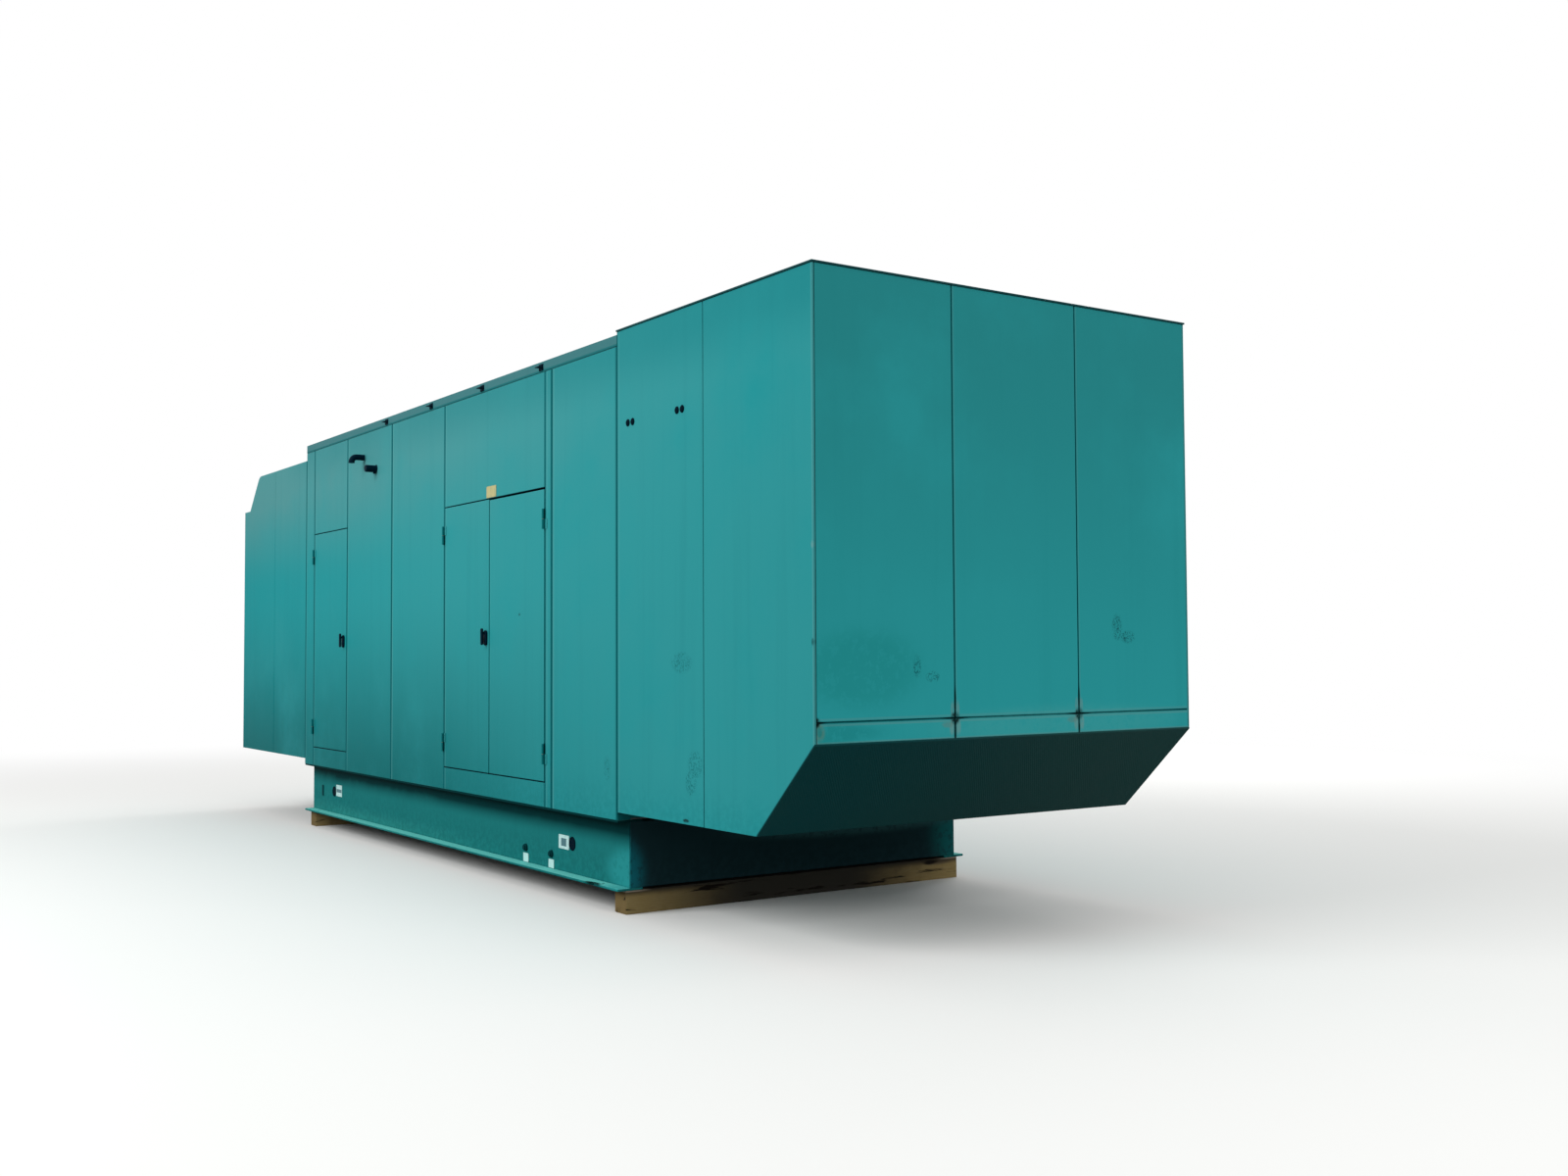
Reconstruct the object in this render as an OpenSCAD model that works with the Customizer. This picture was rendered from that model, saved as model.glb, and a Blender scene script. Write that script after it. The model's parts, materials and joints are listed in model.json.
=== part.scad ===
// Walk-in, sound-attenuated enclosure of a gas generator set on a steel skid.
// Millimetres. +X is the intake end, -X the discharge end, the front with the
// doors faces -Y, and Z = 0 is the ground under the bearing timbers. The origin
// is under the middle of the enclosure.

/* [Enclosure] */
// Length of the main enclosure, the skid's own length
main_len = 6350; // [5500:10:8000]
// Length of the intake plenum, at the +X end
intake_len = 2150; // [1500:10:2800]
// Length of the discharge plenum, at the -X end
discharge_len = 2160; // [1500:10:2800]
// Width over the walls
body_w = 2885; // [2200:5:3600]
// Height of the main enclosure, from the skid's top to the roof's top
main_h = 3091; // [2700:1:3800]
// Thickness of the main enclosure's walls
wall_t = 100; // [80:5:150]
// Thickness of the main roof, which shows as the band along its edge
roof_t = 71; // [50:1:120]

/* [Plenums] */
// Thickness of the plenum walls, floors and roofs
plenum_t = 80; // [50:5:100]
// Height of both plenums' undersides above the skid's top
plenum_lift = 50; // [20:5:120]
// How far the intake plenum's top stands above the main roof
intake_step = 34; // [20:1:150]
// How far the discharge plenum's top lies below the main roof's top
discharge_step = 141; // [80:1:400]
// Length of the sloped underside of the intake plenum, along X
hood_run = 544; // [300:1:800]
// Height of the sloped underside of the intake plenum
hood_rise = 518; // [300:1:800]
// Height of the strip that closes the end wall above the slope
strip_h = 122; // [80:1:250]
// Thickness of the screen sheet on the slope
screen_t = 8; // [4:1:20]
// Thickness of the intake plenum's roof cap
cap_t = 12; // [6:1:30]
// How far the roof cap stands out past the walls
cap_lip = 6; // [0:1:20]
// Distance from the intake plenum's end to the seam in its sides
intake_seam = 1099; // [900:1:1400]
// Distance from the discharge plenum's end to the seam in its sides
discharge_seam = 1120; // [700:1:1400]
// Length of the flat ledge at the discharge end
ledge_len = 195; // [120:1:300]
// Height from the ledge up to the discharge plenum's roof
slope_h = 345; // [200:1:500]
// Outer radius of the bend between the discharge roof and its slope
slope_r = 160; // [100:5:250]

/* [Doors] */
// Height of the door leaves
leaf_h = 2030; // [1800:5:2300]
// Thickness of the door leaves
leaf_t = 60; // [40:1:75]
// Height of the leaves' bottom edge above the skid's top
sill_h = 175; // [100:5:300]
// Width of the personnel door's leaf
personnel_w = 930; // [700:5:1100]
// Width of the double door's left leaf
left_leaf_w = 850; // [700:5:1100]
// Width of the double door's right leaf
right_leaf_w = 930; // [700:5:1100]
// Gap round each leaf
leaf_gap = 8; // [8:0.5:12]
// Gap between the two leaves of the double door
meeting_gap = 12; // [12:0.5:18]
// Width of the wall left of the personnel door
wall_left_w = 253; // [150:1:500]
// Share of the wall between the doors that its left panel takes
middle_share = 0.493; // [0.3:0.001:0.7]
// Width of the strip right of the double door
strip_w = 103; // [80:1:200]
// Width of the wall panel at the intake end
wall_right_w = 938; // [500:1:1300]
// Gap between the leaves and the stops behind them
stop_gap = 6; // [5:0.5:12]
// How far the stops reach in behind the leaves
stop_lap = 22; // [15:1:40]

/* [Hardware] */
// Radius of the hinge barrels
barrel_r = 9; // [8:0.5:14]
// Gap between the hinge barrels and the wall's face
hinge_stand = 5; // [5:0.5:10]
// Height of each hinge
hinge_h = 140; // [100:5:200]
// Radius of the hinge pins
pin_r = 5; // [4:0.5:6]
// Radial clearance of pins and spindles in their bores
pin_fit = 0.05; // [0.02:0.01:0.1]
// Height of the lower hinges' middle above the leaves' bottom edge
hinge_low = 190; // [120:5:300]
// Distance of the upper hinges' middle below the leaves' top edge
hinge_high = 215; // [120:5:300]
// Height of the handles' middle above the leaves' bottom edge
handle_z = 1000; // [900:5:1100]
// Distance of the personnel door's handle from the leaf's free edge
personnel_backset = 70; // [45:1:200]
// Distance of the double door's handle from the meeting edge
double_backset = 44; // [40:1:150]
// Length of the handles' levers
grip_l = 125; // [100:5:180]
// Radius of the handle spindles
spindle_r = 8; // [6:0.5:12]

/* [Skid] */
// Height of the bearing timbers
timber_h = 150; // [100:5:250]
// Width of the bearing timbers
timber_w = 150; // [100:5:250]
// How far the timbers' ends stay inside the walls
timber_inset = 65; // [0:5:100]
// Height of the skid's rails
skid_h = 450; // [300:5:600]
// Width of the rails' flanges
flange_w = 180; // [120:5:220]
// Thickness of the rails' flanges
flange_t = 16; // [10:1:25]
// Thickness of the rails' webs
web_t = 10; // [6:1:16]
// How far the flanges' edges stay inside the walls
flange_inset = 5; // [0:1:40]
// Thickness of the skid's end plates
end_plate_t = 12; // [8:1:20]
// Height of the cross members
cross_h = 240; // [150:5:350]
// Thickness of the deck plate
deck_t = 8; // [5:1:12]
// Radius of the anchor holes in the rails
anchor_r = 11; // [8:0.5:16]
// Distance of the anchor holes from the skid's ends
anchor_x = 275; // [200:5:500]

/* [Fittings] */
// Radius of the vent pipe high on the front
vent_r = 26; // [20:1:50]
// How far the vent pipe's turned-down end stands out
vent_out = 119; // [90:1:160]
// Height of the vent pipe below the roof's edge
vent_below = 215; // [150:5:300]
// Height of the capped stub below the roof's edge
stub_below = 345; // [250:5:450]
// Radius of the skid's two large ports
port_r = 47; // [30:1:48]
// Radius of the plugs in the intake plenum's side
plug_r = 23; // [15:1:27]
// Height of these plugs below the plenum's top
plug_below = 615; // [300:5:1000]
// How far the lugs on the roof's edge stand out
lug_out = 38; // [20:1:60]

/* [Hidden] */
$fn = 48;
panel_gap = 1;       // clear gap between neighbouring panels
groove_w = 6;        // width of the groove that shows at each seam
groove_d = 8;        // its depth
corner_return = 12;  // fold of the side panels round the corners
trim_t = 4;          // sheet of the roof's edge trim
trim_leg = 50;       // its leg on top of the roof
seat = 0.5;          // clearance where sheets pass each other
post_w = 90;         // portal frames: width of the posts
post_d = 90;         // portal frames: depth along X
slope_a = 45;        // slope of the discharge plenum's bent roof
bend_n = 6;          // steps in that bend
cross_n = 5;         // cross members
right_drop = 7;      // top edge of the double door's right leaf, below the others'
proud = 1;           // overshoot of cutting shapes

// Angle lugs on the roof's edge
lug_n = 4;           // lugs a side
lug_first = 2205;    // first lug, from the discharge plenum
lug_last = 1100;     // last lug, from the intake plenum
lug_w = 60;
lug_h = 46;
lug_t = 6;
lug_hole_r = 8;
lug_hole_in = 14;    // hole's middle from the lug's outer edge

// Lift-off hinges
hinge_split = 2;     // gap between the two halves
strap_w = 34;        // straps on the faces
strap_t = 4;
neck_w = 8;          // neck between barrel and strap
neck_x = 2;          // its distance from the axis
pin_cap = 6;         // solid top of the upper half, over the pin

// Handles
escutcheon_r = 24;   // plate behind the lever
escutcheon_l = 114;
escutcheon_t = 18;
pivot_up = 36;       // spindle above the plate's middle
bore_l = 40;         // spindle bore in the leaf
spindle_end = 2;     // space left at the bore's end
lever_w = 26;
lever_t = 16;
lever_up = 22;       // upper round end, above the spindle
lever_out = 10;      // gap between plate and lever

// Vent and stub, placed in the wall panel right of the personnel door
vent_share = 0.397;  // vent's place across the panel
stub_share = 0.657;
bend_ratio = 1.7;    // radius of the pipe's bend to the pipe's radius
vent_drop = 9;       // straight end that hangs down
stub_out = 100;
stub_r = 31;
collar_w = 6;        // collars round both on the wall
collar_t = 5;
drain_r = 11;        // short drain under the stub
drain_out = 18;      // its distance from the wall
drain_drop = 12;     // how far it hangs below the stub

// Ports, slot plate and blank tags on the rail's web: place along the rail,
// height above the skid's underside, then the size: radius and depth of a port,
// width and height of a plate. Places count from the intake end, or from the
// discharge end in the lists named far
port_out = 5;            // how far the large ports stand out
plug_head = 24;          // how far the small ones do
ports = [[798, 218, port_r, port_out], [1117, 118, 25, plug_head],
    [1529, 121, 26, plug_head]];
far_ports = [[616, 218, port_r, port_out]];
far_slot = [286, 206, 40, 100];
slot_t = 6;
tags = [[924, 218, 155, 95], [1119, 50, 82, 60], [1529, 50, 84, 62]];
far_tags = [[752, 232, 155, 105]];
tag_t = 3;
door_tag = [170, 85];    // tag over the double door
door_tag_up = 4;         // its distance above the door's gap

// Plugs in the intake plenum's front, in pairs
plug_pairs = [182, 788];    // middle of each pair, from the main enclosure
plug_pitch = 60;
plug_out = 10;

body_l = intake_len + main_len + discharge_len;
x_in = body_l / 2;                     // intake end
x_ij = x_in - intake_len;              // intake plenum meets main enclosure
x_dj = x_ij - main_len;                // main enclosure meets discharge plenum
x_out = -body_l / 2;                   // discharge end
y_f = -body_w / 2;                     // front face
z_deck = timber_h + skid_h;            // top of the skid
z_floor = z_deck + deck_t;
z_roof = z_deck + main_h;              // top of the main roof
z_eave = z_roof - roof_t;              // underside of the main roof
z_base = z_deck + plenum_lift;         // underside of the plenums
z_in_top = z_roof + intake_step;       // top of the intake plenum's roof cap
z_in_wall = z_in_top - cap_t;          // top of its walls
z_hood = z_base + hood_rise;           // top of the sloped underside
z_strip = z_hood + strip_h;            // joint between strips and end panels
screen_z = screen_t * norm([hood_run, hood_rise]) / hood_run;    // sheet, upright
screen_x = screen_t * norm([hood_run, hood_rise]) / hood_rise;   // and level
z_out_top = z_roof - discharge_step;   // top of the discharge plenum
z_ledge = z_out_top - slope_h;
seam_pitch = body_w / 3;               // end walls are three panels wide
z_sill = z_deck + sill_h;              // bottom edge of the leaves
z_head = z_sill + leaf_h;

// Doorways: the gap runs round the leaves
door_p_w = personnel_w + 2 * leaf_gap;
door_d_w = left_leaf_w + meeting_gap + right_leaf_w + 2 * leaf_gap;
middle_w = main_len - wall_left_w - door_p_w - door_d_w - strip_w - wall_right_w;
x_p0 = x_dj + wall_left_w;                 // personnel doorway
x_p1 = x_p0 + door_p_w;
x_mid = x_p1 + middle_share * middle_w;    // seam between the doors
x_d0 = x_p1 + middle_w;                    // double doorway
x_d1 = x_d0 + door_d_w;
x_strip = x_d1 + strip_w;
z_d0 = z_sill - leaf_gap;
z_d1 = z_head + leaf_gap;
stop_d = wall_t - leaf_t - stop_gap;       // depth of the stops

// Leaves: edges on the hinge side, the free edge between the double door's
// leaves, and the spindles of the handles
x_hp = x_p0 + leaf_gap;
x_hl = x_d0 + leaf_gap;
x_hr = x_d1 - leaf_gap;
x_meet = x_hl + left_leaf_w;
x_bp = x_hp + personnel_w - personnel_backset;
x_bd = x_meet - double_backset;
z_handle = z_sill + handle_z;              // middle of the plates behind the levers
z_spindle = z_handle + pivot_up;

hinge_y = y_f - barrel_r - hinge_stand;   // hinge axes lie just outside the face
web_y = body_w / 2 - flange_inset - flange_w / 2;  // rails' middle planes
z_hinges = [z_sill + hinge_low, z_head - hinge_high];
half_h = (hinge_h - hinge_split) / 2;      // each half of a hinge
pin_l = half_h - pin_cap;                  // pin above the lower half

x_vent = x_p1 + vent_share * middle_share * middle_w;
x_stub = x_p1 + stub_share * middle_share * middle_w;
z_vent = z_eave - vent_below;
z_stub = z_eave - stub_below;
z_plugs = z_in_top - plug_below;
lug_pitch = (main_len - lug_first - lug_last) / (lug_n - 1);

paint = "#2A9596";
edge_paint = "#5B8F90";
dark_steel = "#1B1F21";
deck_grey = "#5D6467";
screen_grey = "#16302F";
wood = "#6B5636";
tag_white = "#E4E6E4";
tag_yellow = "#D9B64A";

// ---- shared shapes ----------------------------------------------------------

// Box between two corners
module span(lo, hi) {
    translate(lo) cube(hi - lo);
}

// Copy of the children on the front and, mirrored, on the rear
module both_sides() {
    children();
    mirror([0, 1, 0]) children();
}

// Outline in X and Z, extruded from y0 to y1
module side_extrude(y0, y1) {
    translate([0, y1, 0]) rotate([90, 0, 0]) linear_extrude(y1 - y0) children();
}

// Cut that parts two panels at x in a wall whose face is at y: a groove in the
// face and a fine gap through the wall
module seam_cut(x, y, z0, z1, t) {
    span([x - groove_w / 2, y - proud, z0 - proud],
         [x + groove_w / 2, y + groove_d, z1 + proud]);
    span([x - panel_gap / 2, y - proud, z0 - proud],
         [x + panel_gap / 2, y + t + proud, z1 + proud]);
}

// The same cut across an end wall whose face is at x, at y
module end_seam_cut(y, x, z0, z1, t) {
    span([x - groove_d, y - groove_w / 2, z0 - proud],
         [x + proud, y + groove_w / 2, z1 + proud]);
    span([x - t - proud, y - panel_gap / 2, z0 - proud],
         [x + proud, y + panel_gap / 2, z1 + proud]);
}

// Wall panel of the front wall with a groove along the edges that meet others;
// left, right, low and top say which edges have one
module wall_panel(x0, x1, z0, z1, left = 1, right = 1, low = 0, top = 0) {
    g = groove_w / 2;
    gap = panel_gap / 2;
    span([x0 + left * gap, y_f + groove_d, z0 + low * gap],
         [x1 - right * gap, y_f + wall_t, z1 - top * gap]);
    span([x0 + left * g, y_f, z0 + low * g],
         [x1 - right * g, y_f + groove_d, z1 - top * g]);
}

// I-section along X, its middle at y = 0 and its underside at z = 0
module i_section(h, w, tf, tw) {
    translate([-w / 2, 0]) square([w, tf]);
    translate([-w / 2, h - tf]) square([w, tf]);
    translate([-tw / 2, tf / 2]) square([tw, h - tf]);
}

// ---- skid -------------------------------------------------------------------

module timbers() {
    color(wood) for (x = [x_ij - timber_w, x_dj])
        span([x, y_f + timber_inset, 0], [x + timber_w, -y_f - timber_inset, timber_h]);
}

module skid_rail() {
    difference() {
        translate([x_dj, -web_y, timber_h]) rotate([90, 0, 90])
            linear_extrude(main_len) i_section(skid_h, flange_w, flange_t, web_t);
        for (x = [x_dj + anchor_x, x_ij - anchor_x])
            translate([x, -web_y - flange_w / 4, timber_h - proud])
                cylinder(r = anchor_r, h = flange_t + 2 * proud);
    }
}

module skid_rails() {
    color(paint) both_sides() skid_rail();
}

module skid_ends() {
    y = web_y - web_t / 2;
    color(paint) for (x = [x_dj, x_ij - end_plate_t])
        span([x, -y, timber_h + flange_t], [x + end_plate_t, y, z_deck - flange_t]);
}

module skid_crossmembers() {
    y = web_y - web_t / 2;
    pitch = main_len / (cross_n + 1);
    color(paint) for (i = [1 : cross_n]) translate([x_dj + i * pitch, 0, 0]) {
        translate([0, y, z_deck - flange_t - cross_h]) rotate([90, 0, 0])
            linear_extrude(2 * y) i_section(cross_h, flange_w / 2, flange_t / 2, web_t);
        span([-flange_w / 4, -y + flange_w / 2, z_deck - flange_t],
             [flange_w / 4, y - flange_w / 2, z_deck]);
    }
}

module deck_floor() {
    color(deck_grey)
        span([x_dj, y_f + wall_t, z_deck], [x_ij, -y_f - wall_t, z_floor]);
}

// ---- main enclosure ---------------------------------------------------------

module front_wall_left() {
    color(paint) wall_panel(x_dj, x_p0, z_deck, z_eave, right = 0);
}

module front_wall_over_personnel_door() {
    color(paint) wall_panel(x_p0, x_p1, z_d1, z_eave);
}

module front_wall_middle() {
    color(paint) {
        wall_panel(x_p1, x_mid, z_deck, z_eave, left = 0);
        wall_panel(x_mid, x_d0, z_deck, z_eave, right = 0);
    }
}

module front_wall_over_double_door() {
    color(paint) wall_panel(x_d0, x_d1, z_d1, z_eave);
}

module front_wall_right() {
    color(paint) {
        wall_panel(x_d1, x_strip, z_deck, z_eave, left = 0);
        wall_panel(x_strip, x_ij, z_deck, z_eave);
    }
}

module front_wall_sills() {
    color(paint) {
        wall_panel(x_p0, x_p1, z_deck, z_d0);
        wall_panel(x_d0, x_d1, z_deck, z_d0);
    }
}

// The rear wall repeats the front's panels, with plain ones in place of doors
module rear_wall() {
    seams = [x_dj, x_p1, x_mid, x_d0, x_strip, x_ij];
    color(paint) mirror([0, 1, 0]) for (i = [0 : len(seams) - 2])
        wall_panel(seams[i], seams[i + 1], z_deck, z_eave);
}

module main_roof() {
    color(edge_paint)
        span([x_dj, y_f + trim_t, z_eave], [x_ij, -y_f - trim_t, z_roof]);
}

// Edge trim: a folded sheet down the roof's edge, with a leg on top
module roof_edge_trims() {
    color(edge_paint) both_sides() {
        span([x_dj, y_f, z_eave + groove_w / 2], [x_ij, y_f + trim_t, z_roof + trim_t]);
        span([x_dj, y_f, z_roof], [x_ij, y_f + trim_leg, z_roof + trim_t]);
    }
}

module roof_edge_lugs() {
    z = z_eave + roof_t / 2;
    color(dark_steel) both_sides() for (i = [0 : lug_n - 1])
        translate([x_dj + lug_first + i * lug_pitch, y_f, z]) difference() {
            union() {
                span([-lug_w / 2, -lug_t, -lug_h / 2], [lug_w / 2, 0, lug_h / 2]);
                span([-lug_w / 2, -lug_out, -lug_t / 2], [lug_w / 2, 0, lug_t / 2]);
            }
            translate([0, -lug_out + lug_hole_in, -lug_t])
                cylinder(r = lug_hole_r, h = 2 * lug_t);
        }
}

// Open frame between the main enclosure and a plenum, standing on the deck:
// x0 is its low side in X, z_in the plenum's ceiling
module portal(x0, z_in) {
    y = -y_f - wall_t;
    top = min(z_in, z_eave) - post_w;
    difference() {
        span([x0, -y, z_floor], [x0 + post_d, y, z_eave]);
        span([x0 - proud, -y + post_w, z_base + plenum_t],
             [x0 + post_d + proud, y - post_w, top]);
    }
}

module intake_portal() {
    color(paint) portal(x_ij - post_d, z_in_wall - plenum_t);
}

module discharge_portal() {
    color(paint) portal(x_dj, z_out_top - plenum_t);
}

// ---- intake plenum ----------------------------------------------------------

// Plan of a side wall from x0 to the end at x1, with its fold round the corner;
// s is the outward direction at that end
module side_plan(x0, x1, s) {
    t = plenum_t;
    polygon([[x0, y_f], [x1, y_f], [x1, y_f + corner_return], [x1 - s * t, y_f + t],
        [x0, y_f + t]]);
}

// Plan of an end wall at x, between the side walls' folds
module end_plan(x, s) {
    t = plenum_t;
    c = corner_return + groove_w / 2;
    polygon([[x, y_f + c], [x, -y_f - c], [x - s * t, -y_f - t - panel_gap],
        [x - s * t, y_f + t + panel_gap]]);
}

// Side wall of the intake plenum, on the front; its foot is cut back for the
// screen sheet
module intake_side() {
    difference() {
        intersection() {
            side_extrude(y_f, y_f + plenum_t) polygon([[x_ij, z_base],
                [x_in - hood_run - screen_x, z_base], [x_in, z_hood + screen_z],
                [x_in, z_in_wall], [x_ij, z_in_wall]]);
            translate([0, 0, z_base])
                linear_extrude(z_in_wall - z_base) side_plan(x_ij + panel_gap / 2, x_in, 1);
        }
        seam_cut(x_in - intake_seam, y_f, z_base, z_in_wall, plenum_t);
        span([x_ij - proud, y_f - proud, z_base - proud],
             [x_ij + groove_w / 2, y_f + groove_d, z_in_wall + proud]);
    }
}

module intake_front_side() {
    color(paint) intake_side();
}

module intake_rear_side() {
    color(paint) mirror([0, 1, 0]) intake_side();
}

// Three-panel end wall from z0 to z1
module end_wall(x, s, z0, z1) {
    difference() {
        translate([0, 0, z0]) linear_extrude(z1 - z0) end_plan(x, s);
        for (y = [-seam_pitch / 2, seam_pitch / 2]) {
            if (s > 0) end_seam_cut(y, x, z0, z1, plenum_t);
            else mirror([1, 0, 0]) end_seam_cut(y, -x, z0, z1, plenum_t);
        }
    }
}

module intake_end_panels() {
    color(paint) difference() {
        end_wall(x_in, 1, z_strip + panel_gap / 2, z_in_wall);
        span([x_in - groove_d, y_f, z_strip], [x_in + proud, -y_f, z_strip + groove_w / 2]);
    }
}

module intake_end_strips() {
    color(paint) difference() {
        end_wall(x_in, 1, z_hood, z_strip - panel_gap / 2);
        span([x_in - groove_d, y_f, z_strip - groove_w / 2], [x_in + proud, -y_f, z_strip]);
        hood_cut();
    }
}

// Everything below the screen sheet's inner face, at the end wall
module hood_cut() {
    far = 2 * plenum_t;
    drop = far * hood_rise / hood_run;
    side_extrude(y_f - proud, -y_f + proud)
        polygon([[x_in - far, z_hood + screen_z - drop], [x_in + far, z_hood + screen_z + drop],
            [x_in + far, z_hood - 2 * drop], [x_in - far, z_hood - 2 * drop]]);
}

// Roof: a cap over the walls and a slab between them
module intake_roof() {
    t = plenum_t + panel_gap;
    color(edge_paint) {
        span([x_ij, y_f - cap_lip, z_in_wall], [x_in + cap_lip, -y_f + cap_lip, z_in_top]);
        span([x_ij, y_f + t, z_in_wall - plenum_t], [x_in - t, -y_f - t, z_in_wall + proud]);
    }
}

// Floor, its end parallel to the screen sheet
module intake_floor() {
    t = plenum_t + panel_gap;
    x = x_in - hood_run - screen_x - panel_gap;
    color(paint) side_extrude(y_f + t, -y_f - t)
        polygon([[x_ij, z_base], [x, z_base],
            [x + plenum_t * hood_run / hood_rise, z_base + plenum_t], [x_ij, z_base + plenum_t]]);
}

// Screen sheet over the whole slope
module intake_screen() {
    k = screen_z - seat;
    color(screen_grey) side_extrude(y_f, -y_f)
        polygon([[x_in - hood_run, z_base], [x_in, z_hood], [x_in, z_hood + k],
            [x_in - hood_run, z_base + k]]);
}

// ---- discharge plenum -------------------------------------------------------

// Points along the bend between roof and slope, at radius r round its centre
x_slope = x_out + ledge_len + slope_h / tan(slope_a);    // slope's upper end, unrounded
x_bend = x_slope + slope_r * tan(slope_a / 2);
function discharge_bend(r) = [for (i = [0 : bend_n]) let (a = 90 + slope_a * i / bend_n)
    [x_bend + r * cos(a), z_out_top - slope_r + r * sin(a)]];

module discharge_outline() {
    polygon(concat([[x_dj, z_base], [x_dj, z_out_top]], discharge_bend(slope_r),
        [[x_out + ledge_len, z_ledge], [x_out, z_ledge], [x_out, z_base]]));
}

module discharge_side() {
    difference() {
        intersection() {
            side_extrude(y_f, y_f + plenum_t) discharge_outline();
            translate([0, 0, z_base])
                linear_extrude(z_out_top - z_base) side_plan(x_dj - panel_gap / 2, x_out, -1);
        }
        seam_cut(x_out + discharge_seam, y_f, z_base, z_out_top, plenum_t);
        span([x_dj - groove_w / 2, y_f - proud, z_base - proud],
             [x_dj + proud, y_f + groove_d, z_out_top + proud]);
    }
}

module discharge_front_side() {
    color(paint) discharge_side();
}

module discharge_rear_side() {
    color(paint) mirror([0, 1, 0]) discharge_side();
}

module discharge_end_panels() {
    color(paint) end_wall(x_out, -1, z_base, z_ledge);
}

// Roof and slope in one bent panel between the side walls, standing on the ledge
module discharge_roof() {
    y = -y_f - plenum_t - panel_gap;
    foot = x_out + ledge_len;
    inner = discharge_bend(slope_r - plenum_t);
    color(edge_paint) side_extrude(-y, y) polygon(concat(
        [[x_dj, z_out_top - plenum_t], [x_dj, z_out_top]], discharge_bend(slope_r),
        [[foot, z_ledge], [foot + plenum_t / sin(slope_a), z_ledge]],
        [for (i = [bend_n : -1 : 0]) inner[i]]));
}

// Flat panel over the end of the discharge plenum
module discharge_ledge() {
    t = plenum_t + panel_gap;
    foot = x_out + ledge_len + plenum_t / sin(slope_a);
    color(paint) span([x_out + t, y_f + t, z_ledge - plenum_t], [foot, -y_f - t, z_ledge]);
}

module discharge_floor() {
    t = plenum_t + panel_gap;
    color(paint) span([x_out + t, y_f + t, z_base], [x_dj, -y_f - t, z_base + plenum_t]);
}

// ---- doors ------------------------------------------------------------------

// Stop frame behind the leaves of a doorway from x0 to x1
module door_stop(x0, x1) {
    lap = leaf_gap + stop_lap;
    y1 = y_f + wall_t;
    difference() {
        span([x0, y1 - stop_d, z_d0], [x1, y1, z_d1]);
        span([x0 + lap, y1 - stop_d - proud, z_d0 + lap],
             [x1 - lap, y1 + proud, z_d1 - lap]);
    }
}

module personnel_door_stop() {
    color(paint) door_stop(x_p0, x_p1);
}

module double_door_stop() {
    color(paint) door_stop(x_d0, x_d1);
}

// Door leaf from x0 to x1, its top edge lowered by drop; a spindle bore at
// x_bore where it has a handle
module leaf(x0, x1, x_bore = undef, drop = 0) {
    difference() {
        span([x0, y_f, z_sill], [x1, y_f + leaf_t, z_head - drop]);
        if (!is_undef(x_bore))
            translate([x_bore, y_f - proud, z_spindle]) rotate([-90, 0, 0])
                cylinder(r = spindle_r + pin_fit, h = bore_l + proud);
    }
}

// Lift-off hinges: the lower half with the pin is on the wall, the upper half
// turns with the leaf. x is the leaf's edge, s points from the wall to the leaf
module hinge_lower(x, s) {
    for (z = z_hinges) translate([x - s * leaf_gap / 2, hinge_y, z - hinge_h / 2]) {
        cylinder(r = barrel_r, h = half_h);
        cylinder(r = pin_r, h = half_h + pin_l);
        hinge_strap(-s, proud);
    }
}

module hinge_upper(x, s) {
    for (z = z_hinges)
        translate([x - s * leaf_gap / 2, hinge_y, z + hinge_split / 2]) {
            difference() {
                cylinder(r = barrel_r, h = half_h);
                translate([0, 0, -proud]) cylinder(r = pin_r + pin_fit, h = pin_l + 2 * proud);
            }
            hinge_strap(s, pin_r + pin_fit + proud);
        }
}

// Neck from the barrel and flat strap on the face beside it; s is its side and
// y0 where the neck starts, clear of the pin
module hinge_strap(s, y0) {
    y = barrel_r + hinge_stand;
    mirror([s < 0 ? 1 : 0, 0, 0]) {
        span([neck_x, y0, 0], [neck_x + neck_w, y, half_h]);
        span([neck_x, y - strap_t, 0], [leaf_gap / 2 + strap_w, y, half_h]);
    }
}

// Plate behind a handle, with the spindle's bore
module escutcheon(x) {
    end = escutcheon_l / 2 - escutcheon_r;     // middle of its round ends
    translate([x, y_f, z_handle]) rotate([90, 0, 0]) linear_extrude(escutcheon_t)
        difference() {
            union() {
                square([2 * escutcheon_r, 2 * end], center = true);
                for (s = [-1, 1]) translate([0, s * end]) circle(escutcheon_r);
            }
            translate([0, pivot_up]) circle(spindle_r + pin_fit);
        }
}

module hinge_lower_halves() {
    color(paint) {
        hinge_lower(x_hp, 1);
        hinge_lower(x_hl, 1);
        hinge_lower(x_hr, -1);
    }
}

module personnel_door() {
    color(paint) {
        leaf(x_hp, x_hp + personnel_w, x_bp);
        hinge_upper(x_hp, 1);
    }
}

module double_door_left_leaf() {
    color(paint) {
        leaf(x_hl, x_meet, x_bd);
        hinge_upper(x_hl, 1);
    }
}

module double_door_right_leaf() {
    color(paint) {
        leaf(x_meet + meeting_gap, x_hr, drop = right_drop);
        hinge_upper(x_hr, -1);
    }
}

module personnel_handle_plate() {
    color(dark_steel) escutcheon(x_bp);
}

module double_handle_plate() {
    color(dark_steel) escutcheon(x_bd);
}

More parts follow.
